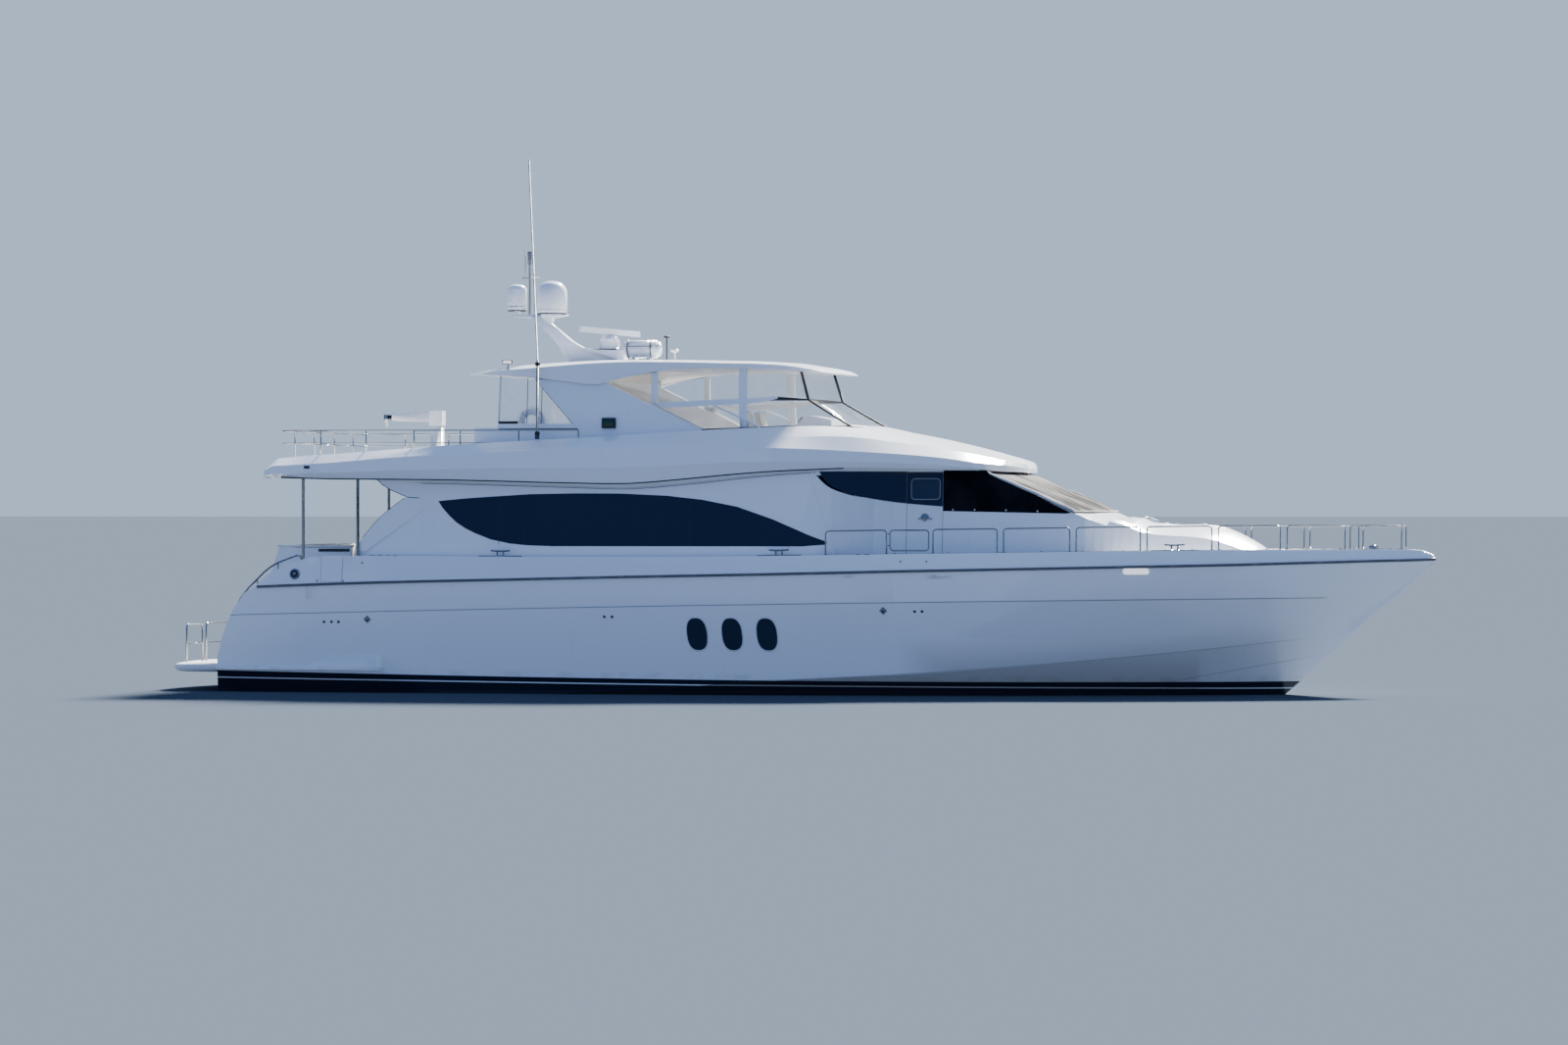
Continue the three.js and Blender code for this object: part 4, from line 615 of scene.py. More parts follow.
class Fittings:
    """Closed forms, each with its own finish, that become one mesh."""

    def __init__(self, name):
        self.name, self.work, self.finishes = name, bmesh.new(), []

    def mark(self, faces, finish):
        """Gives a new form's faces their finish."""
        if finish not in self.finishes:
            self.finishes.append(finish)
        for face in faces:
            face.material_index = self.finishes.index(finish)

    def skin(self, rings, finish, looped=False):
        """A closed skin through rings of points, each with as many points as the others."""
        size = len(rings[0])
        rows = [[self.work.verts.new(point) for point in ring] for ring in rings]
        after = rows[1:] + rows[:1] if looped else rows[1:]
        faces = [self.work.faces.new((a[i], a[(i + 1) % size], b[(i + 1) % size], b[i]))
                 for a, b in zip(rows, after) for i in range(size)]
        if not looped:
            faces += [self.work.faces.new(rows[0]), self.work.faces.new(rows[-1])]
        self.mark(faces, finish)

    def turned(self, profile, place, axis, finish, segments=20, looped=False):
        """A form turned on an axis, from pairs of radius and height along it. Looped, it is a ring."""
        axis = Vector(axis).normalized()
        ways = round_axis(axis, segments)
        self.skin([[Vector(place) + axis * height + way * max(radius, 1e-4) for way in ways]
                   for radius, height in profile], finish, looped)

    def block(self, low, high, finish, soft, lean=(0, 0)):
        """A block between two corners, its edges bevelled, its top pushed along x and y by lean."""
        made = bmesh.ops.create_cube(self.work, size=1.0)["verts"]
        middle, size = (Vector(low) + Vector(high)) / 2, Vector(high) - Vector(low)
        for vertex in made:
            x, y, z = vertex.co
            push = z + 0.5
            place = (x * size.x + push * lean[0], y * size.y + push * lean[1], z * size.z)
            vertex.co = middle + Vector(place)
        edges = {edge for vertex in made for edge in vertex.link_edges}
        self.mark({face for vertex in made for face in vertex.link_faces}, finish)
        bevelled = bmesh.ops.bevel(self.work, geom=list(edges), offset=min(soft, min(size) * 0.45),
                                   segments=2, affect="EDGES", profile=0.5)
        self.mark(bevelled["faces"], finish)

    def side_block(self, side, x, y, z, finish, soft):
        """A block to one side of the boat, from its spans. The one in y counts from the middle outwards."""
        near, far = sorted(side * edge for edge in y)
        self.block((x[0], near, z[0]), (x[1], far, z[1]), finish, soft)

    def panel(self, outline, at, lift, thick, finish, cut=PANEL_CUT):
        """A sheet with a flat outline, laid on a surface by at(a, b, lift)."""
        sheet = bmesh.new()
        sheet.faces.new([sheet.verts.new((x, 0, z)) for x, z in outline])
        low, high = min(x for x, _ in outline), max(x for x, _ in outline)
        for k in range(1, math.ceil((high - low) / cut)):
            everything = sheet.verts[:] + sheet.edges[:] + sheet.faces[:]
            bmesh.ops.bisect_plane(sheet, geom=everything, plane_co=(low + k * cut, 0, 0), plane_no=(1, 0, 0))
        bmesh.ops.triangulate(sheet, faces=sheet.faces[:])
        front = bmesh.ops.extrude_face_region(sheet, geom=sheet.faces[:])["geom"]
        raised = {item for item in front if isinstance(item, bmesh.types.BMVert)}
        for vertex in sheet.verts:
            vertex.co = at(vertex.co.x, vertex.co.z, lift + thick if vertex in raised else lift)
        self.take(sheet, finish)

    def take(self, source, finish):
        """Adds another mesh."""
        if isinstance(source, bpy.types.Mesh):
            mesh, source = source, bmesh.new()
            source.from_mesh(mesh)
        places = [self.work.verts.new(vertex.co) for vertex in source.verts]
        source.verts.index_update()
        faces = [self.work.faces.new([places[v.index] for v in face.verts]) for face in source.faces]
        self.mark(faces, finish)
        source.free()

    def bar(self, path, radius, finish):
        """A round bar along a path."""
        self.take(swept(path, radius, finish), finish)

    def studs(self, places, radius, height, finish):
        """Studs at pairs of a point and the way out there."""
        self.take(studs(places, radius, height, finish), finish)

    def done(self, body="boat", slot="gelcoat", angle=SMOOTH_ANGLE):
        """Puts the mesh in the scene as one piece."""
        bmesh.ops.recalc_face_normals(self.work, faces=self.work.faces[:])
        mesh = bpy.data.meshes.new(self.name)
        self.work.to_mesh(mesh)
        self.work.free()
        for finish in self.finishes:
            mesh.materials.append(finish)
        print(self.name, len(mesh.polygons), "faces")
        return finished(self.name, mesh, body, angle)


def on_house(side):
    """Where a place in x and z comes to lie on the house's side."""
    return lambda x, z, lift: Vector((x, wall_y(x, z, side) + side * lift, z))


def on_hull(side):
    """The same on the hull's side."""
    return lambda x, z, lift: shoot_in(OUTER, x, z, side)[0] + Vector((0, side * lift, 0))


def over(tree):
    """Where a place in x and y comes to lie on a deck under it."""
    return lambda x, y, lift: tree.ray_cast(Vector((x, y, 9.0)), -UP)[0] + UP * lift


def spread(first, last, count):
    """Evenly spaced numbers, both ends included."""
    return [first + (last - first) * k / count for k in range(count + 1)]


def arc(centre, radius, start, end, steps):
    """Points on a circle in a plane, from one angle to another in degrees."""
    angles = [math.radians(angle) for angle in spread(start, end, steps)]
    return [(centre[0] + radius * math.cos(t), centre[1] + radius * math.sin(t)) for t in angles]


def round_rect(low, high, radius, margin=0.0, steps=5):
    """A rectangle with round corners, larger than its two corners say by a margin."""
    x0, z0, x1, z1 = low[0] - margin, low[1] - margin, high[0] + margin, high[1] + margin
    quarters = [((x1 - radius, z1 - radius), 0), ((x0 + radius, z1 - radius), 90),
                ((x0 + radius, z0 + radius), 180), ((x1 - radius, z0 + radius), 270)]
    return [point for centre, start in quarters for point in arc(centre, radius, start, start + 90, steps)]


def bezier(points, steps):
    """A cubic curve through the first and last of four points."""
    a, b, c, d = (Vector(point) for point in points)
    return [tuple(a * (1 - t) ** 3 + b * 3 * t * (1 - t) ** 2 + c * 3 * t * t * (1 - t) + d * t ** 3)
            for t in spread(0, 1, steps)]


print("fittings can be turned, cut, bent and swept")

# %% [markdown]
# Two trees in Geometry Nodes do what repeats. The first sweeps a round section along a path: beads,
# gaskets, piping and handrails are all of that kind, and the tree closes their ends. The second sets a
# small stud, narrower at its top, on every point it is given, turned to the way out of the surface there:
# screws, snaps and rail flanges. Both have named inputs for their sizes, and both end in real geometry
# with a finish.

# %% Trees that sweep and stud
def geometry_tree(name, sizes):
    tree = bpy.data.node_groups.new(name, "GeometryNodeTree")
    tree.interface.new_socket("Geometry", in_out="INPUT", socket_type="NodeSocketGeometry")
    for size, value in sizes.items():
        socket = tree.interface.new_socket(size, in_out="INPUT", socket_type="NodeSocketFloat")
        socket.default_value = value
    tree.interface.new_socket("Finish", in_out="INPUT", socket_type="NodeSocketMaterial")
    tree.interface.new_socket("Geometry", in_out="OUTPUT", socket_type="NodeSocketGeometry")
    graph = Graph(tree)
    source = tree.nodes.new("NodeGroupInput")
    return graph, {socket.name: Wire(graph, socket) for socket in source.outputs if socket.name}


def close_tree(graph, given, geometry):
    """Ends a tree with real geometry in the given finish."""
    real = graph.node("GeometryNodeRealizeInstances", {}, {"Geometry": geometry})
    painted = graph.node("GeometryNodeSetMaterial", {}, {"Geometry": real, "Material": given["Finish"]})
    graph.node("NodeGroupOutput", {}, {"Geometry": painted})
    return graph.tree


def sweep_tree():
    graph, given = geometry_tree("sweep", {"Radius": 0.01})
    path = graph.node("GeometryNodeMeshToCurve", {}, {"Mesh": given["Geometry"]})
    circle = graph.node("GeometryNodeCurvePrimitiveCircle", {}, {"Resolution": 10, "Radius": given["Radius"]})
    values = {"Curve": path, "Profile Curve": circle, "Fill Caps": True}
    return close_tree(graph, given, graph.node("GeometryNodeCurveToMesh", {}, values))


def stud_tree():
    graph, given = geometry_tree("studs", {"Radius": 0.01, "Height": 0.004})
    facing = graph.node("GeometryNodeInputNamedAttribute", {"data_type": "FLOAT_VECTOR"}, {"Name": "facing"})
    turn = graph.node("FunctionNodeAlignRotationToVector", {"axis": "Z"}, {"Vector": facing})
    values = {"Vertices": 12, "Radius Top": given["Radius"] * 0.7, "Radius Bottom": given["Radius"],
              "Depth": given["Height"]}
    stud = graph.node("GeometryNodeMeshCone", {"fill_type": "NGON"}, values)
    values = {"Points": given["Geometry"], "Instance": stud, "Rotation": turn}
    return close_tree(graph, given, graph.node("GeometryNodeInstanceOnPoints", {}, values))


SWEEP, STUDS = sweep_tree(), stud_tree()


def grown(mesh, tree, **inputs):
    """The plain mesh that a tree makes of a mesh."""
    host = bpy.data.objects.new("host", mesh)
    bpy.context.scene.collection.objects.link(host)
    modifier = host.modifiers.new("tree", "NODES")
    modifier.node_group = tree
    for socket in tree.interface.items_tree:
        if socket.in_out == "INPUT" and socket.name in inputs:
            modifier[socket.identifier] = inputs[socket.name]
    graph = bpy.context.evaluated_depsgraph_get()
    made = bpy.data.meshes.new_from_object(host.evaluated_get(graph))
    host.modifiers.remove(modifier)
    bpy.data.objects.remove(host)
    return made


def swept(path, radius, finish):
    """A round bar along a path of points."""
    mesh = bpy.data.meshes.new("path")
    mesh.from_pydata([tuple(point) for point in path], [(k, k + 1) for k in range(len(path) - 1)], [])
    return grown(mesh, SWEEP, Radius=radius, Finish=finish)


def studs(places, radius, height, finish):
    """Studs at pairs of a point and the way out there."""
    mesh = bpy.data.meshes.new("points")
    mesh.from_pydata([tuple(place) for place, _ in places], [], [])
    facing = mesh.attributes.new("facing", "FLOAT_VECTOR", "POINT")
    for k, (_, way) in enumerate(places):
        facing.data[k].vector = way
    return grown(mesh, STUDS, Radius=radius, Height=height, Finish=finish)


print("trees:", SWEEP.name, STUDS.name)

# %% [markdown]
# A band of black bonded glass runs back from the windscreen along the pilothouse. The real one is three
# things that read as one: glass glued over the wall's opening aft of the side door, the door's own upper
# half with a small window in it, and forward of the door a stretched black screen with snaps along its
# foot. Aft glass and screen are fixed to the house. The door's part swings with the door, with a seam all
# round.

# %% The dark band along the pilothouse
BAND_TOP = 4.215
AFT_CURVE = bezier([(1.06, 4.13), (1.18, 3.87), (1.60, 3.70), (2.558, 3.605)], 14)
AFT_BAND = [(2.558, BAND_TOP - 0.01), (1.02, BAND_TOP - 0.01), *AFT_CURVE]
DOOR_BAND = [(2.5695, 3.603), (3.2505, 3.548), (3.2505, 4.19), (2.5695, 4.19)]
DOOR_WINDOW = ((2.66, 3.69), (3.19, 4.06))
SCREEN_PANEL = [(3.262, 3.462), (5.60, 3.415), (5.70, 3.43), (4.135, 4.15), (4.09, BAND_TOP + 0.01),
                (3.262, BAND_TOP + 0.01)]
SNAPS = [(3.45, 3.487), (3.863, 3.487), (4.461, 3.478), (5.058, 3.46)]
SKIN_GAP = 0.002
DOOR_JOINTS = [(2.564, 2.58), (3.256, 3.24)]  # the gaps round the door, and the door's face beside each
ROSE = (2.914, 3.335)
ROSE_PROFILE = [(0.062, -0.003), (0.062, 0.008), (0.05, 0.014), (0.02, 0.016)]
HANDLE = [(2.790, 3.318, 0.004), (2.800, 3.320, 0.040), (2.84, 3.322, 0.050), (2.98, 3.322, 0.050),
          (3.035, 3.320, 0.040), (3.045, 3.318, 0.004)]
GRIP_RADIUS = 0.075

for word, side in SIDES.items():
    at = on_house(side)
    glass = Fittings(f"aft_side_glass_{word}")
    glass.panel(AFT_BAND, at, SKIN_GAP, 0.006, NAVY_GLASS)
    for x, beside in DOOR_JOINTS:
        joint = [Vector((x, wall_y(beside, z, side) - side * 0.001, z)) for z in spread(2.36, 4.18, 8)]
        glass.bar(joint, 0.0036, RUBBER)
    piece = glass.done(slot="dark_glass", angle=PANE_ANGLE)
    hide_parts(f"aft_side_window_{word}")

    leaf = Fittings(f"side_door_glass_{word}")
    leaf.panel(DOOR_BAND, at, SKIN_GAP, 0.006, NAVY_GLASS)
    leaf.panel(round_rect(*DOOR_WINDOW, 0.08, margin=0.02), at, SKIN_GAP + 0.0062, 0.004, GREY_PLASTIC)
    leaf.panel(round_rect(*DOOR_WINDOW, 0.06), at, SKIN_GAP + 0.0104, 0.002, SMOKED_GLASS)
    leaf.turned(ROSE_PROFILE, at(*ROSE, 0.0), (0, side, 0.06), STEEL, 24)
    leaf.bar([at(*place) for place in HANDLE], 0.011, STEEL)
    leaf.bar([at(ROSE[0] + GRIP_RADIUS * math.cos(t), ROSE[1] + GRIP_RADIUS * math.sin(t), 0.018)
              for t in spread(0, math.pi, 10)], 0.007, STEEL)
    leaf.done(f"side_door_{word}", "dark_glass", 40.0)


def flat_area(outline):
    """The area inside an outline, for a sheet's true size."""
    pairs = zip(outline, outline[1:] + outline[:1])
    return abs(sum(a[0] * b[1] - b[0] * a[1] for a, b in pairs)) / 2


for word, side in SIDES.items():
    at = on_house(side)
    cloth = Fittings(f"side_screen_{word}")
    cloth.panel(SCREEN_PANEL, at, SKIN_GAP, 0.003, BLACK_MESH)
    piece = cloth.done(slot="dark_glass", angle=20.0)
    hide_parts(f"forward_side_window_{word}")
    flat_area(SCREEN_PANEL)
    caps = Fittings(f"screen_snaps_{word}")
    caps.studs([(at(x, z, 0.005), (0, side, 0.075)) for x, z in SNAPS], 0.016, 0.008, WHITE_PLASTIC)
    caps.done()

# %% [markdown]
# The salon's long window is bonded glass too, cut to one sweeping outline that overlaps the opening in
# the wall. Its outline is laid on the wall like the band's. Aft of it the house's side ends in a point
# under the boat deck, where a curved web comes down from the moulding, and a dark edge trim follows the
# slant down to the bulwark.

# %% Salon glass and the side's after corner
SALON_GLASS = [(-6.422, 3.653), (-5.866, 3.703), (-5.371, 3.736), (-4.619, 3.781), (-3.710, 3.797),
               (-2.802, 3.792), (-1.919, 3.751), (-1.236, 3.677), (-0.555, 3.544), (0.124, 3.312),
               (0.666, 3.082), (1.172, 2.851), (1.130, 2.832), (0.700, 2.800), (-1.919, 2.799),
               (-4.165, 2.798), (-4.985, 2.845), (-5.371, 2.924), (-5.680, 3.039), (-5.866, 3.128),
               (-6.052, 3.243), (-6.199, 3.377), (-6.329, 3.519)]
WEB_CURVE = [(-7.68, 4.10), (-7.537, 3.966), (-7.352, 3.859), (-7.166, 3.779), (-7.028, 3.726)]
SLANT = [(-7.096, 3.708), (-7.24, 3.609), (-7.537, 3.377), (-7.724, 3.188), (-7.912, 2.964), (-8.089, 2.702)]
CORNER = [*WEB_CURVE, *SLANT, (-7.855, 2.702), (-6.435, 3.674), (-6.435, 4.10)]
CORNER_PLANE_X = -6.5  # aft of here the side goes on straight
CORNER_DEPTH = 0.06


def on_corner(side):
    """As on_house, but straight on aft of the side's end."""
    return lambda x, z, lift: Vector((x, wall_y(max(x, CORNER_PLANE_X), z, side) + side * lift, z))


for word, side in SIDES.items():
    pane = Fittings(f"salon_glass_{word}")
    pane.panel(SALON_GLASS, on_house(side), SKIN_GAP, 0.005, NAVY_GLASS)
    pane.done(slot="dark_glass", angle=PANE_ANGLE)
    at = on_corner(side)
    corner = Fittings(f"salon_corner_{word}")
    corner.panel(CORNER, at, -CORNER_DEPTH, 0.0597, GELCOAT, 0.5)
    corner.bar([at(x, z, -0.014) for x, z in SLANT[:-1]], 0.013, RUBBER)
    corner.bar([at(x, z, 0.0) for x, z in [*WEB_CURVE, (-6.80, 3.712)]], 0.007, RUBBER)
    corner.done()

# %% [markdown]
# The windscreen has a cloth cover of open weave against the sun. It hangs from a hem along its top and
# from snaps, and its own weight and its tension draw long shallow folds down the glass. A grid of points
# over the windscreen's slope, lifted by a sum of slow waves, gives such folds. The rolled hems are swept
# along its sides and foot.

# %% The windscreen's cover
COVER_COLUMNS, COVER_ROWS = 72, 30
SCREEN_TOP = Vector((4.39, 0, 4.185))
SCREEN_FOOT = Vector((6.13, 0, 3.44))
SCREEN_BOW = 0.08    # how far back the glass bends, per square metre of half width
SCREEN_HALF = 2.16
SCREEN_TAPER = 0.965
SLOPE = (SCREEN_FOOT - SCREEN_TOP).normalized()
SCREEN_OUT = Vector((-SLOPE.z, 0, SLOPE.x))
COVER_LIFT = 0.012
COVER_FROM, COVER_SHARE = 0.015, 0.975  # where the cloth begins down the glass, and how much it covers
HEM_LIFT = COVER_LIFT + 0.004
FOLD_HEIGHT = 0.017


def on_screen(across, down, lift):
    """A point over the windscreen, from -1 to 1 across it and from 0 to 1 down it."""
    y = across * SCREEN_HALF
    along = SCREEN_TOP.lerp(SCREEN_FOOT, down)
    wide = SCREEN_TAPER + (1 - SCREEN_TAPER) * down
    return Vector((along.x - SCREEN_BOW * y * y, y * wide, along.z)) + SCREEN_OUT * lift


def fold(across, down):
    """How far the cloth stands off the glass."""
    pull = math.sin(math.pi * down) ** 0.5
    waves = math.sin(9.0 * down + 2.3 * across) * 0.5 + math.sin(17.0 * down - 3.1 * across + 1.0) * 0.3
    waves += math.sin(31.0 * down + 5.0 * across + 0.5) * 0.2 * (1 - abs(across))
    return FOLD_HEIGHT * pull * (waves + 0.7)


def cover_mesh():
    """The cloth as a grid of faces that look up and ahead."""
    cloth = bmesh.new()
    rows = [[cloth.verts.new(on_screen(across, COVER_FROM + COVER_SHARE * j / COVER_ROWS,
                                       COVER_LIFT + fold(across, j / COVER_ROWS)))
             for across in (-1 + 2 * i / COVER_COLUMNS for i in range(COVER_COLUMNS + 1))]
            for j in range(COVER_ROWS + 1)]
    for upper, lower in zip(rows, rows[1:]):
        for i in range(COVER_COLUMNS):
            cloth.faces.new((upper[i], upper[i + 1], lower[i + 1], lower[i]))
    made = bpy.data.meshes.new("screen_cover")
    cloth.normal_update()
    if cloth.faces[:][0].normal.z < 0:
        bmesh.ops.reverse_faces(cloth, faces=cloth.faces[:])
    cloth.to_mesh(made)
    cloth.free()
    made.materials.append(FINISH["mesh_cover"])
    return made


cover = finished("screen_cover", cover_mesh(), "boat", PANE_ANGLE)
thickness = cover.modifiers.new("thickness", "SOLIDIFY")
thickness.thickness = 0.003
thickness.offset = -1.0
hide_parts("windscreen_cover")
hem = Fittings("screen_cover_hem")
for across in (-1, 1):
    hem.bar([on_screen(across, COVER_FROM + COVER_SHARE * t, HEM_LIFT + fold(across, t))
             for t in spread(0, 1, 24)], 0.030, PIPING_CLOTH)
hem.bar([on_screen(-1 + 2 * t, 0.99, HEM_LIFT) for t in spread(0, 1, 24)], 0.009, PIPING_CLOTH)
hem_piece = hem.done(slot="mesh_cover", angle=PANE_ANGLE)

# %% [markdown]
# Where the boat deck's moulding comes down over the house, builders hide the joint with a gutter bead. A
# dark bar along the moulding's lower edge is painted shade under that edge, and a fine dark line runs under
# the bead. Rays from below find the moulding's edge at each place, and the bead is swept along it.

# %% The gutter bead
BROW_RAY = (2.5, 3.0)  # how far out and how high the ray from below starts


def brow_edge(x, side):
    """The outer lower edge of the boat deck's moulding."""
    under = BRIDGE.ray_cast(Vector((x, side * BROW_RAY[0], BROW_RAY[1])), UP)[0]
    return Vector((x, shoot_in(BRIDGE, x, under.z + 0.012, side)[0].y, under.z))


EDGE_FROM, EDGE_TO = -9.5, 1.5
BEAD_FROM, BEAD_TO = -7.30, 0.95
BEAD_DROP = [(-7.30, 0.056), (-5.3, 0.070), (-3.87, 0.075), (-2.68, 0.092), (-1.1, 0.090), (0.95, 0.045)]


def drop_at(x):
    """How far the bead lies under the moulding's edge."""
    for (x0, z0), (x1, z1) in zip(BEAD_DROP, BEAD_DROP[1:]):
        if x <= x1:
            return z0 + (z1 - z0) * (x - x0) / (x1 - x0)
    return BEAD_DROP[-1][1]


bead = Fittings("gutter_bead")
for side in SIDES.values():
    # A dark bar along the moulding's lower edge: painted shade under the edge.
    edge_shade_bar = [brow_edge(x, side) + Vector((0, -side * 0.006, -0.004)) for x in spread(EDGE_FROM, EDGE_TO, 70)]
    bead.bar(edge_shade_bar, 0.013, RUBBER)
    rail = [on_house(side)(x, brow_edge(x, side).z - drop_at(x), 0.002)
            for x in spread(BEAD_FROM, BEAD_TO, 50)]
    bead.bar(rail, 0.015, WHITE_PLASTIC)
    bead.bar([place + Vector((0, side * 0.002, -0.017)) for place in rail], 0.005, RUBBER)
bead.done()

# %% [markdown]
# Three oval ports a side light the cabins under the deck. Each is a dark pane in a thin light rim, let
# into the topsides. The hull curves there, so a port is a set of rings whose points are shot onto it one
# by one and lifted by a small height: the rim rises, the pane lies back.

# %% Ports and hull fittings
PORTS = [(-1.28, 1.15), (-0.605, 1.15), (0.065, 1.15)]
PORT_HALF = (0.192, 0.300)
PORT_LEAN = 0.07
RIM = [(1.10, -0.02), (1.10, 0.004), (1.06, 0.012), (1.01, 0.010), (1.00, -0.02)]
PANE = [(1.02, -0.02), (1.01, 0.0065), (0.93, 0.005), (0.55, 0.005), (0.12, 0.005)]


def oval(centre, scale, lift, side):
    """A ring on the hull round a port's middle, flatter at its sides than an ellipse."""
    ring = []
    for t in turns(40):
        across = math.copysign(abs(math.cos(t)) ** 0.8, math.cos(t)) * PORT_HALF[0] * scale
        upward = math.copysign(abs(math.sin(t)) ** 0.8, math.sin(t)) * PORT_HALF[1] * scale
        x, z = centre[0] + across - upward * PORT_LEAN, centre[1] + upward
        place, way = shoot_in(OUTER, x, z, side)
        ring.append(place + way * lift)
    return ring


ports = Fittings("oval_ports")
for side in SIDES.values():
    for centre in PORTS:
        ports.skin([oval(centre, scale, lift, side) for scale, lift in RIM], WHITE_PLASTIC, looped=True)
        ports.skin([oval(centre, scale, lift, side) for scale, lift in PANE], SMOKED_GLASS)
ports.done()

VENT_DOTS = [(-8.64, 1.35), (-8.49, 1.35), (-8.35, 1.35), (-3.07, 1.47), (-2.92, 1.47), (2.89, 1.59),
             (3.03, 1.59)]
VENT_DIAMONDS = [(-7.77, 1.40), (2.30, 1.60)]
GATE_DOTS = [(-8.76, 2.13), (-8.235, 2.13), (-7.87, 2.475), (2.64, 2.52), (3.13, 2.52)]
DIAMOND_HALF = 0.075
NOZZLE_PROFILE = [(0.026, 0.008), (0.026, 0.018), (0.01, 0.022)]
fittings = Fittings("hull_fittings")
for side in SIDES.values():
    dots = [shoot_in(OUTER, x, z, side) for x, z in VENT_DOTS]
    fittings.studs([(place - way * 0.004, way) for place, way in dots], 0.034, 0.012, STEEL)
    fittings.studs([(place + way * 0.006, way) for place, way in dots], 0.021, 0.004, RUBBER)
    small = [shoot_in(OUTER, x, z, side) for x, z in GATE_DOTS]
    fittings.studs([(place - way * 0.004, way) for place, way in small], 0.022, 0.012, GREY_PLASTIC)
    for x, z in VENT_DIAMONDS:
        diamond = [(x - DIAMOND_HALF, z), (x, z + DIAMOND_HALF), (x + DIAMOND_HALF, z), (x, z - DIAMOND_HALF)]
        fittings.panel(diamond, on_hull(side), -0.004, 0.012, GREY_PLASTIC)
        fittings.turned(NOZZLE_PROFILE, *shoot_in(OUTER, x, z, side), STEEL, 16)
fittings.done()

# %% [markdown]
# The stern carries a round stainless fairlead a side, where a mooring line passes through the bulwark,
# and the bow a white lamp in a slot. The fairlead is a rolled ring round a dark throat with a steel boss
# in its middle, and it is turned on the way out of the hull there. The slot lamp is a long rounded lens,
# a panel laid on the flare of the bow.

# %% Fairleads and slot lamps
FAIRLEAD = (-9.22, 2.26)
SLOT_LAMP = ((6.77, 2.285), (7.24, 2.395))
RING_PROFILE = [(0.104, -0.01), (0.104, 0.012), (0.092, 0.026), (0.074, 0.026), (0.064, 0.012),
                (0.064, 0.006)]

gear = Fittings("fairleads_and_lamps")
for side in SIDES.values():
    place, way = shoot_in(OUTER, *FAIRLEAD, side)
    gear.turned(RING_PROFILE, place, way, STEEL, 28)
    gear.turned([(0.063, 0.004), (0.063, 0.0075)], place, way, RUBBER, 28)
    gear.turned([(0.030, 0.004), (0.030, 0.020), (0.018, 0.028)], place, way, STEEL, 16)
    # The slot lamp's lens glows faintly, as painted light.
    gear.panel(round_rect(*SLOT_LAMP, 0.05), on_hull(side), -0.004, 0.014, GLOWING_LAMP_LENS, 0.06)
gear.done()

# %% [markdown]
# A horned cleat is a bar on two feet. Three stand on each bulwark's top, each over a thin dark chafe
# strip. The bar is swept along a short path, with turned ends and feet, and follows the bulwark's line.

# %% Cleats
CLEATS = [-5.15, 0.29, 7.68]
CLEAT_HALF, CLEAT_FOOT, CLEAT_HEIGHT = 0.18, 0.06, 0.10
FOOT_PROFILE = [(0.034, -0.004), (0.034, 0.008), (0.018, 0.018), (0.016, CLEAT_HEIGHT)]
TIP_PROFILE = [(0.006, 0), (0.014, 0.004), (0.016, 0.012), (0.012, 0.020), (0.004, 0.023)]
PAD_HALF = 0.43
CAP_RAY = 2.56  # the height of a ray at the bulwark's side
CAP_INSET = 0.11


def cap_point(x, side):
    """A point on top of the bulwark, inside its outer edge."""
    edge = shoot_in(OUTER, x, CAP_RAY, side)[0]
    return OUTER.ray_cast(Vector((x, edge.y - side * CAP_INSET, 5.0)), -UP)[0]


cleats = Fittings("cleats")
for side in SIDES.values():
    for x in CLEATS:
        base = cap_point(x, side)
        along = (cap_point(x + 0.3, side) - cap_point(x - 0.3, side)).normalized()
        top = base + UP * CLEAT_HEIGHT
        bar = [top + along * (CLEAT_HALF * s) + UP * (0.012 * s * s) for s in (-1, -0.6, 0, 0.6, 1)]
        cleats.bar(bar, 0.016, STEEL)
        for s, end in ((-1, bar[0]), (1, bar[-1])):
            cleats.turned(FOOT_PROFILE, base + along * (CLEAT_FOOT * s), UP, STEEL, 14)
            cleats.turned(TIP_PROFILE, end - along * (s * 0.008), along * s, STEEL, 12)
        strip = [cap_point(x + PAD_HALF * k / 4, side) + UP * 0.004 for k in range(-4, 5)]
        cleats.bar(strip, 0.011, RUBBER)
cleats.done(slot="stainless")

# %% [markdown]
# Every upright of the bow rails stands on a round flange, and the strake is held by a row of screws in
# its face. Both are rows of the same small thing, so the stud tree makes them. The places come from the
# frame: the rail's lowest points show where its feet are, and level rays find the middle of the strake's
# upright face.

# %% Flanges and screws
FLANGE_RADIUS, FLANGE_HEIGHT = 0.034, 0.010
FOOT_BAND = (0.001, 0.03)  # over the bulwark's top
BAR_REACH = 0.06           # points nearer than this are of one upright
SCREW_FROM, SCREW_LENGTH, SCREW_STEP = -9.7, 21.0, 0.30


def rail_feet(node, side):
    """Middles of the uprights, from the rail's points just over the bulwark's top."""
    found = []
    for vertex in NODES[node].data.vertices:
        cap = cap_point(vertex.co.x, side).z
        if not cap + FOOT_BAND[0] < vertex.co.z < cap + FOOT_BAND[1]:
            continue
        near = next((group for group in found if (group[0].xy - vertex.co.xy).length < BAR_REACH), None)
        if near is None:
            found.append([vertex.co.copy()])
        else:
            near.append(vertex.co.copy())
    return [sum(group, Vector()) / len(group) for group in found]


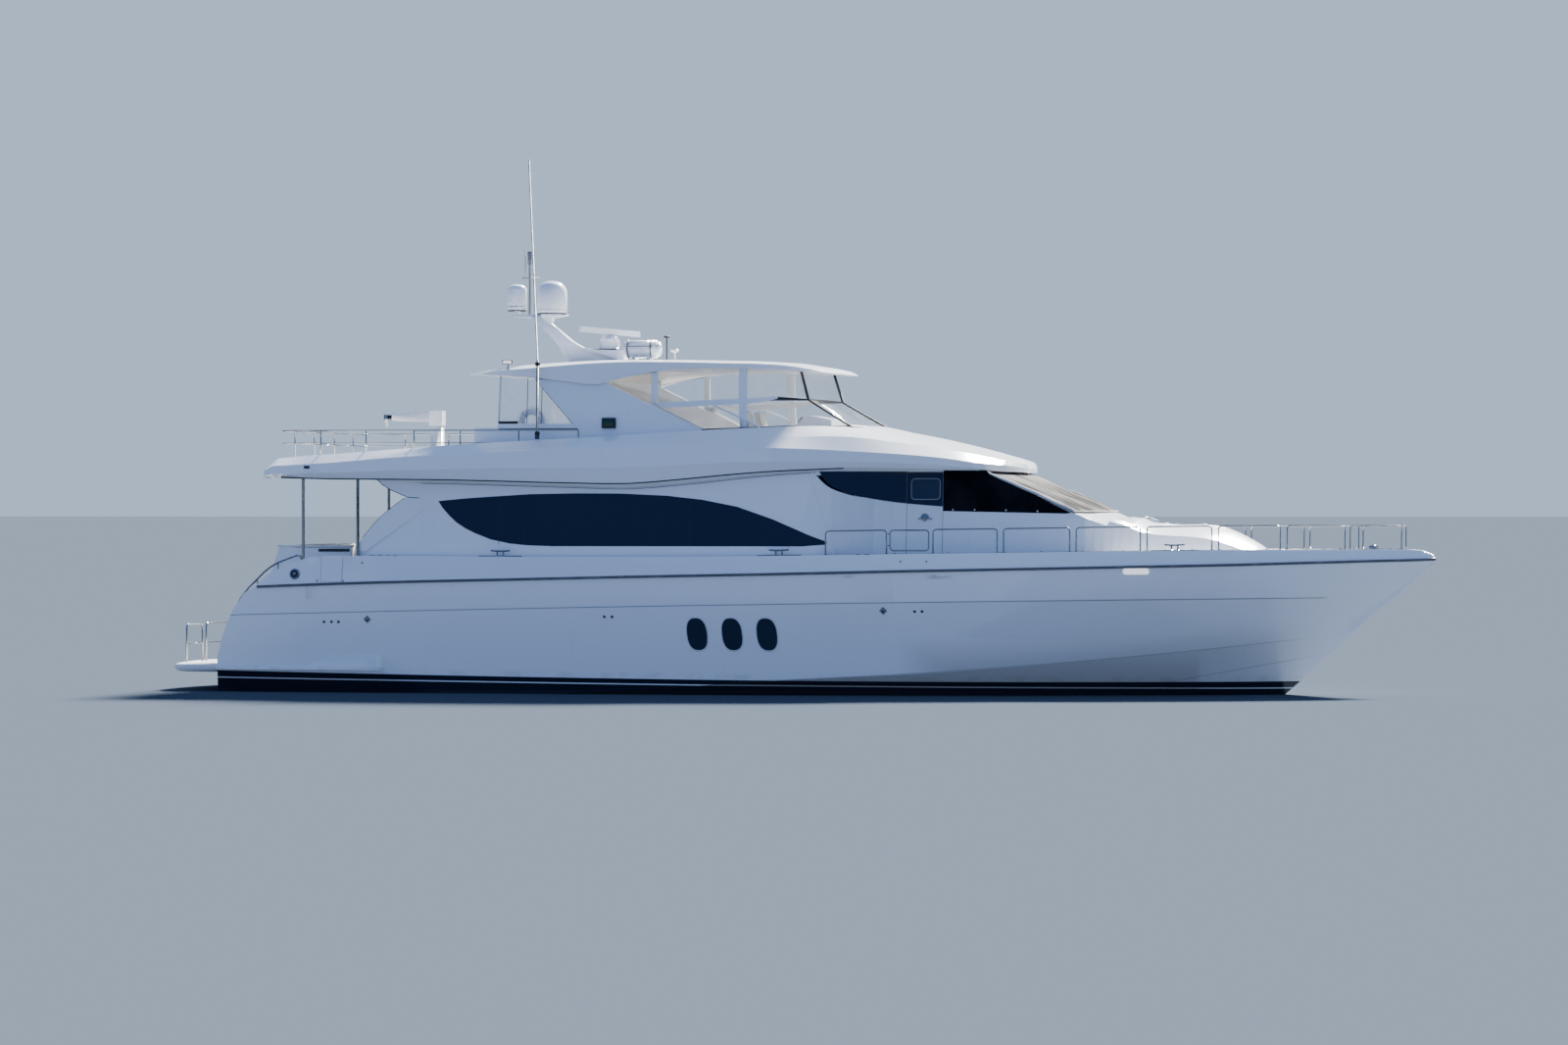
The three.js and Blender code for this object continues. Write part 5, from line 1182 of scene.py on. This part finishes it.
flanges = Fittings("rail_flanges")
for word, side in SIDES.items():
    feet = rail_feet(f"bow_rail_{word}", side)
    feet = [(Vector((p.x, p.y, cap_point(p.x, side).z + 0.009)), UP) for p in feet]
    flanges.studs(feet, FLANGE_RADIUS, FLANGE_HEIGHT, STEEL)
    print(len(feet), "rail feet to", word)
flanges.done(slot="stainless")

STRAKE = surface(["rubbing_strake"])


def screw_place(x, side):
    """The middle of the strake's upright face at a place along the boat, if it has one there."""
    height = 2.0 + 0.024 * (x + 10)
    hits = [shoot_in(STRAKE, x, z, side) for z in (height - 0.1 + 0.01 * j for j in range(40))]
    hits = [(place, way) for place, way in hits if place is not None and abs(way.z) < 0.25]
    return hits[len(hits) // 2] if hits else None


screws = Fittings("strake_screws")
for side in SIDES.values():
    places = [screw_place(SCREW_FROM + k * SCREW_STEP, side) for k in range(int(SCREW_LENGTH / SCREW_STEP))]
    screws.studs([(place - way * 0.0008, way) for place, way in filter(None, places)], 0.007, 0.0014, STEEL)
screws.done(slot="stainless")

# %% [markdown]
# The after end of the flybridge is closed by a curtain of clear vinyl on each side. It hangs from the
# hardtop, is sewn from three widths, and is laced to a round post aft and to a padded strip along the
# slanting edge of the hardtop's side. A low coaming carries its foot. The vinyl is a thin panel with the
# seams and edges swept over it.

# %% Curtains at the flybridge's after end
CURTAIN_OUTLINE = [(-5.45, 5.13), (-5.415, 6.045), (-4.72, 6.01), (-3.93, 5.13)]
CURTAIN_SEAMS = [[(-4.879, 5.13), (-4.855, 6.015)], [(-4.588, 5.13), (-4.569, 5.872)]]
CURTAIN_STRIP = [(-4.70, 5.99), (-3.86, 5.02)]
CURTAIN_Y, CURTAIN_BEND_X, CURTAIN_TURN = 2.08, -4.7, 0.13
POST_LINE = [(-5.462, 5.12), (-5.418, 6.05)]
LEDGE = ((-5.45, -3.87), (1.98, 2.125), (5.004, 5.128))  # spans in x, out from the middle, and in z
HEEL = ((-5.44, -5.06), (1.99, 2.09), (5.13, 5.18))


def on_curtain(side):
    """The curtain's plane, which turns inboard with the hardtop's edge."""
    return lambda x, z, lift: Vector(
        (x, side * (CURTAIN_Y - CURTAIN_TURN * max(0.0, CURTAIN_BEND_X - x) + lift), z))


for word, side in SIDES.items():
    at = on_curtain(side)
    vinyl = Fittings(f"curtain_{word}")
    vinyl.panel(CURTAIN_OUTLINE, at, 0.0, 0.002, CURTAIN)
    piece = vinyl.done(slot="clear_glass", angle=PANE_ANGLE)
    flat_area(CURTAIN_OUTLINE)
    trim = Fittings(f"curtain_trim_{word}")
    for seam in CURTAIN_SEAMS:
        trim.bar([at(x, z, 0.004) for x, z in seam], 0.008, GREY_PLASTIC)
    trim.bar([at(x, z, 0.012) for x, z in CURTAIN_STRIP], 0.021, GREY_PLASTIC)
    trim.bar([at(x, z, 0.0) for x, z in POST_LINE], 0.020, WHITE_PLASTIC)
    trim.side_block(side, *LEDGE, GELCOAT, 0.012)
    trim.bar([Vector((x, side * 2.130, 5.030)) for x in (-5.42, -3.85)], 0.008, RUBBER)
    trim.side_block(side, *HEEL, BLACK_PLASTIC, 0.02)
    trim.done()

# %% [markdown]
# Belts round a form, such as a strap round the life raft's canister, are found by rays shot from all
# round at its axis. The raft's two shells meet at a seam, and two straps with a release hold them. Each
# dome stands in a dark gasket, with a grey bead over it, and a sealed joint goes round the mast.

# %% Life raft, domes and mast
def belt(node, centre, axis):
    """A closed path round a node, in the plane across the axis."""
    tree = surface([node])
    hits = [(tree.ray_cast(Vector(centre) + way * 0.9, -way)[0], way) for way in round_axis(axis, 36, 1)]
    return [place + way * 0.003 for place, way in hits if place is not None]


raft = Fittings("raft_straps")
for x in (-3.20, -2.74):
    raft.bar(belt("liferaft", (x, -0.75, 6.56), Vector((1, 0, 0))), 0.010, BLACK_PLASTIC)
raft.bar(belt("liferaft", (-2.935, -0.75, 6.627), UP), 0.007, RUBBER)
raft.turned([(0.022, 0.0), (0.028, 0.012), (0.014, 0.022)], (-2.857, -0.75, 6.745), UP, BLACK_PLASTIC, 14)
raft.done()

DOMES = [((-4.94, 0.0, 7.292), 0.282), ((-5.64, 0.0, 7.357), 0.178)]
BEADS = [(0.0, 0.0, 0.010, RUBBER), (0.075, 0.012, 0.005, GREY_PLASTIC)]  # height, way out, radius, finish
skirts = Fittings("dome_skirts")
for centre, radius in DOMES:
    for height, grow, size, finish in BEADS:
        ring = [(radius + grow + size * math.cos(t), height + size * math.sin(t)) for t in turns(8)]
        skirts.turned(ring, centre, UP, finish, 40, looped=True)
skirts.bar(belt("mast", (-3.82, 0.0, 6.60), UP), 0.007, RUBBER)
skirts.done()

# %% [markdown]
# On the hardtop stand two small antennas, a post behind the mast's foot and a floodlight at the after
# corner. The whip antenna is held by a collar at its foot and by a second one, on an arm, at the
# hardtop's edge. Under the flybridge's side is the black box of the side light, green to starboard and
# red to port, and far aft in the boat deck's edge a small black lamp.

# %% Antennas, lamps and side lights
ROOF_GEAR = [  # x and y, pairs of radius and height, and the finish
    (-2.643, 0.0, [(0.045, -0.005), (0.045, 0.01), (0.013, 0.02), (0.013, 0.43), (0.055, 0.44),
                   (0.055, 0.475), (0.030, 0.49)], BLACK_PLASTIC),
    (-2.481, 0.0, [(0.045, -0.005), (0.045, 0.01), (0.016, 0.02), (0.016, 0.16), (0.075, 0.175),
                   (0.080, 0.205), (0.055, 0.235)], WHITE_PLASTIC),
    (-4.387, 0.0, [(0.030, -0.005), (0.030, 0.08), (0.018, 0.12)], BLACK_PLASTIC),
    (-5.285, -1.93, [(0.035, -0.01), (0.035, 0.012), (0.014, 0.020), (0.014, 0.10)], GREY_PLASTIC),
]
COLLAR_PROFILE = [(0.034, -0.035), (0.050, -0.030), (0.050, 0.030), (0.034, 0.035)]
WHIP_COLLARS = [(-4.570, -2.437, 4.94), (-4.599, -2.304, 6.26)]
WHIP_ARM = [Vector((-4.599, -2.304, 6.235)), Vector((-4.60, -2.10, 6.215))]
roof = over(ROOF)
tops = Fittings("antennas_and_lamps")
for x, y, profile, finish in ROOF_GEAR:
    tops.turned(profile, roof(x, y, 0.0), UP, finish)
tops.block((-5.389, -1.99, 6.268), (-5.182, -1.89, 6.360), GREY_PLASTIC, 0.012)
# The floodlight's lens glows faintly, as painted light.
tops.block((-5.366, -1.996, 6.286), (-5.205, -1.98, 6.342), GLOWING_LAMP_LENS, 0.004)
for centre in WHIP_COLLARS:
    tops.turned(COLLAR_PROFILE, centre, UP, BLACK_PLASTIC)
tops.bar(WHIP_ARM, 0.016, STEEL)
for side, lens_finish in ((-1, GREEN_LENS), (1, RED_LENS)):
    tops.side_block(side, (-3.372, -3.102), (2.12, 2.19), (5.034, 5.236), BLACK_PLASTIC, 0.012)
    tops.side_block(side, (-3.335, -3.139), (2.18, 2.196), (5.075, 5.195), lens_finish, 0.006)
    tops.side_block(side, (-8.99, -8.88), (3.13, 3.15), (4.272, 4.324), BLACK_PLASTIC, 0.006)
tops.done()

# %% [markdown]
# Where the hardtop meets its side wing there is a shadow gap, painted as a dark bar, and the glass of the
# flybridge's windscreen stands in a black gasket. Both are thin and follow edges that the frame has, so they
# are swept: along the hardtop's lower edge, found by rays from below, and along the feet of the
# windscreen's uprights.

# %% Seams, gaskets and trim of the flybridge
WING_EDGE = [(-2.370, 5.517), (-2.221, 5.415), (-1.389, 5.019)]
GLASS_FOOT = [(-1.42, 2.135, 5.008), (-0.6, 2.130, 5.034), (0.2, 2.020, 5.064), (1.40, 1.770, 5.060)]
joints = Fittings("flybridge_joints")
for side in SIDES.values():
    # A dark bar under the hardtop's edge: painted shadow in the gap where the wing meets it.
    seam = [ROOF.ray_cast(Vector((x, side * 2.134, 5.2)), UP)[0] for x in spread(-4.66, -2.31, 30)]
    joints.bar([place - UP * 0.003 for place in seam if place is not None], 0.009, RUBBER)
    joints.bar([Vector((x, side * 2.132, z)) for x, z in WING_EDGE], 0.011, CREAM_TRIM)
    joints.bar([Vector((x, side * y, z)) for x, y, z in GLASS_FOOT], 0.014, BLACK_PLASTIC)
joints.bar([Vector((1.455 - 0.012 * y * y, y, 5.062)) for y in spread(-1.77, 1.77, 12)], 0.014, BLACK_PLASTIC)
joints.done()

# %% [markdown]
# A life ring hangs inside the starboard curtain. It is a foam ring in a white skin, held by four bands,
# with a grab line looped from band to band.

# %% The life ring
RING_CENTRE = Vector((-4.823, -1.90, 5.165))
RING_RADIUS, RING_TUBE = 0.200, 0.065


def around_ring(turn, radius, lift):
    """A point by the life ring, at an angle, a distance from its middle and a place across it."""
    return RING_CENTRE + Vector((math.cos(turn) * radius, lift, math.sin(turn) * radius))


ring = Fittings("life_ring")
section = [(RING_RADIUS + RING_TUBE * math.cos(t), RING_TUBE * 0.8 * math.sin(t)) for t in turns(14)]
ring.turned(section, RING_CENTRE, (0, 1, 0), WHITE_PLASTIC, 40, looped=True)
for k in range(4):
    turn = math.pi / 4 + math.pi / 2 * k
    hoop = [around_ring(turn, RING_RADIUS + 0.068 * math.cos(t), 0.055 * math.sin(t)) for t in turns(16, 1)]
    ring.bar(hoop, 0.009, GREY_PLASTIC)
    loop = [around_ring(turn + math.pi / 2 * s, RING_RADIUS + 0.072 + 0.022 * math.sin(math.pi * s), 0.0)
            for s in spread(0, 1, 10)]
    ring.bar(loop, 0.005, WHITE_PLASTIC)
ring.done()

# %% [markdown]
# The stern: a wall with a rolled cap parts the stairs from the aft deck on each side, and a stainless
# handrail goes up with the stairs, on posts that rays set on the mouldings under it. The transom's door
# carries a thin panel and a lever, which swing with it.

# %% Stern gear
STAIR_RAIL = [(-10.52, 1.46), (-10.505, 1.56), (-10.38, 1.79), (-10.22, 1.99), (-10.04, 2.16),
              (-9.915, 2.285), (-9.765, 2.40), (-9.626, 2.475), (-9.44, 2.545), (-9.254, 2.611),
              (-9.18, 2.60), (-9.15, 2.50)]
RAIL_POSTS = [4, 7]
STAIR_RAIL_Y = 2.76
stern = Fittings("stern_gear")
for side in SIDES.values():
    path = [Vector((x, side * STAIR_RAIL_Y, z)) for x, z in STAIR_RAIL]
    stern.bar(path, 0.019, STEEL)
    for k in RAIL_POSTS:
        foot = OUTER.ray_cast(path[k], -UP)[0]
        stern.bar([path[k], foot - UP * 0.01], 0.014, STEEL)
        stern.turned([(0.034, -0.004), (0.034, 0.006), (0.016, 0.014)], foot, UP, STEEL, 16)
    stern.side_block(side, (-9.63, -8.44), (1.745, 1.865), (1.786, 2.762), GELCOAT, 0.02)
    stern.side_block(side, (-9.95, -8.42), (1.715, 1.895), (2.764, 2.806), WHITE_PLASTIC, 0.018)
    # A dark strip stands for the slot in the wall's face; its darkness is painted shade.
    stern.side_block(side, (-9.10, -8.47), (1.86, 1.875), (2.680, 2.735), RUBBER, 0.006)
stern.done()

TRANSOM = surface(["transom_door"])
LEVER = (0.20, 1.45)
LEVER_ROSE = [(0.040, -0.004), (0.040, 0.010), (0.020, 0.016)]
LEVER_BAR = [(0.20, 1.45, 0.03), (0.13, 1.45, 0.034), (0.08, 1.45, 0.030)]


def on_transom(y, z, lift):
    """A place on the transom door's outer face."""
    return TRANSOM.ray_cast(Vector((-13.0, y, z)), Vector((1, 0, 0)))[0] - Vector((lift, 0, 0))


latch = Fittings("transom_door_gear")
latch.panel(round_rect((-0.27, 1.05), (0.27, 1.95), 0.06), on_transom, 0.001, 0.004, WHITE_PLASTIC)
latch.turned(LEVER_ROSE, on_transom(*LEVER, 0.004), (-1, 0, 0), STEEL, 18)
latch.bar([on_transom(*place) for place in LEVER_BAR], 0.010, STEEL)
latch.done("transom_door", "gelcoat", 40.0)

# %% [markdown]
# The last small things on deck. Dark chafe marks lie along the bulwark's cap where lines run over it.
# Hatches of tinted glass in white frames let light into the cabins under the trunk, and two lids close
# the chain locker. The salon's long window is three panes, with joints between them.

# %% Chafe marks, hatches and pane joints
CHAFE = [(-7.733, -7.62), (-7.56, -7.48), (-7.41, -7.33), (-7.26, -7.18), (1.787, 1.86), (1.95, 2.028)]
PANE_JOINTS = [-5.217, -4.715, -1.462]
TRUNK = surface(["trunk"])
DECK = over(surface(["hull"]))
HATCHES = [(7.62, 0.27), (6.95, 0.22)]  # x and half the side
LIDS = [-0.29, 0.29]
on_deck = Fittings("deck_gear")
for side in SIDES.values():
    for low, high in CHAFE:
        line = [cap_point(x, side) + Vector((0, side * 0.07, 0.002)) for x in (low, (low + high) / 2, high)]
        on_deck.bar(line, 0.008, RUBBER)
    for x in PANE_JOINTS:
        on_deck.bar([on_house(side)(x, z, 0.008) for z in (2.83, 3.30, 3.70)], 0.004, RUBBER)
for x, half in HATCHES:
    corners = (x - half, -half), (x + half, half)
    on_deck.panel(round_rect(*corners, 0.07), over(TRUNK), -0.004, 0.026, WHITE_PLASTIC)
    on_deck.panel(round_rect(*corners, 0.04, margin=-0.045), over(TRUNK), 0.023, 0.004, SMOKED_GLASS)
for y in LIDS:
    on_deck.panel(round_rect((10.00, y - 0.25), (10.52, y + 0.25), 0.05), DECK, 0.001, 0.012, GELCOAT)
    on_deck.turned([(0.028, -0.002), (0.028, 0.004), (0.016, 0.006)], DECK(10.07, y, 0.013), UP, STEEL, 14)
on_deck.done()

# %% [markdown]
# Upholstery: foam blocks in sewn vinyl. A foam cushion keeps its box shape, with rounded edges and a
# slightly crowned face, so it is made as a rounded box: every point of a fine cube is pulled to a smaller
# box and pushed out again by the edge's radius, and the face is then raised in its middle. A cord of
# piping is sewn into its edge. The blocks stand on moulded bases.

# %% Cushions
CUSHION_CUTS = 9
CUSHION_EDGE = 0.035
CROWN = 0.012
PIPING = upholstery("piping_vinyl", (0.42, 0.40, 0.36))


def cushion(piece, low, high, puff, lean=(0.0, 0.0)):
    """A foam cushion between two corners, crowned on the puff's axis. Lean pushes its top along x and y."""
    low, high = Vector(low), Vector(high)
    middle, half = (low + high) / 2, (high - low) / 2
    radius = min(CUSHION_EDGE, min(half) * 0.9)
    inner = half - Vector((radius, radius, radius))
    main = "xyz".index(puff)
    a, b = (k for k in range(3) if k != main)

    def leaned(place):
        up = (place.z + half.z) / (2 * half.z)
        return middle + place + Vector((lean[0] * up, lean[1] * up, 0))

    box = bmesh.new()
    bmesh.ops.create_cube(box, size=2.0)
    bmesh.ops.subdivide_edges(box, edges=box.edges[:], cuts=CUSHION_CUTS, use_grid_fill=True)
    for vertex in box.verts:
        unit = Vector([math.sin(v * math.pi / 2) for v in vertex.co])
        place = Vector([unit[k] * half[k] for k in range(3)])
        held = Vector([max(-inner[k], min(inner[k], place[k])) for k in range(3)])
        out = place - held
        place = held + out.normalized() * radius if out.length > 1e-6 else place
        if abs(place[main]) > inner[main] * 0.99:
            rise = CROWN * (1 - unit[a] ** 2) * (1 - unit[b] ** 2)
            place[main] -= math.copysign(CROWN - rise, place[main])
        vertex.co = leaned(place)
    piece.take(box, VINYL)
    cord = []
    for u, v in round_rect((-half[a], -half[b]), (half[a], half[b]), radius * 1.1, steps=4):
        place = Vector((0, 0, 0))
        place[a], place[b], place[main] = u * 0.998, v * 0.998, half[main] - radius * 0.45
        cord.append(leaned(place))
    piece.bar(cord + cord[:1], 0.005, PIPING)


def upholstered(node, bases, cushions):
    """A seat's bases and its cushions, in place of a node of the frame."""
    base = Fittings(f"{node}_base")
    for low, high, *lean in bases:
        base.block(low, high, GELCOAT, 0.015, *lean)
    moulded = base.done(BODY_OF[node])
    soft = Fittings(f"{node}_cushions")
    for low, high, puff, *lean in cushions:
        cushion(soft, low, high, puff, *lean)
    foam = soft.done(BODY_OF[node], "vinyl", 50.0)
    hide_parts(node)


THIRDS = [(-1.695, -0.572), (-0.562, 0.562), (0.572, 1.695)]
upholstered("aft_settee",
            [((-9.593, -1.698, 1.783), (-9.02, 1.698, 2.095)),
             ((-9.594, -1.698, 2.09), (-9.545, 1.698, 2.79))],
            [((-9.40, a, 2.10), (-8.983, b, 2.228), "z") for a, b in THIRDS] +
            [((-9.545, a, 2.10), (-9.385, b, 2.822), "x", (-0.045, 0)) for a, b in THIRDS])
BAYS = [(-5.19, -4.34), (-4.33, -3.47), (-3.46, -2.61)]
upholstered("bridge_settee",
            [((-5.198, 1.42, 4.322), (-2.602, 2.033, 4.62)),
             ((-5.198, 2.005, 4.60), (-2.602, 2.033, 5.03))],
            [((a, 1.383, 4.625), (b, 1.88, 4.74), "z") for a, b in BAYS] +
            [((a, 1.885, 4.625), (b, 2.004, 5.058), "y") for a, b in BAYS])
HELM_SEATS = {"starboard": -0.5, "port": 0.7}
for word, y in HELM_SEATS.items():
    upholstered(f"helm_seat_{word}",
                [((-0.86, y - 0.16, 4.322), (-0.54, y + 0.16, 4.345)),
                 ((-0.745, y - 0.045, 4.34), (-0.655, y + 0.045, 4.70)),
                 ((-0.93, y - 0.25, 4.69), (-0.47, y + 0.25, 4.72)),
                 ((-0.90, y - 0.26, 4.72), (-0.875, y + 0.26, 5.36), (-0.135, 0))],
                [((-0.875, y - 0.278, 4.722), (-0.442, y + 0.278, 4.88), "z"),
                 ((-0.88, y - 0.278, 4.80), (-0.76, y + 0.278, 5.378), "x", (-0.15, 0))])
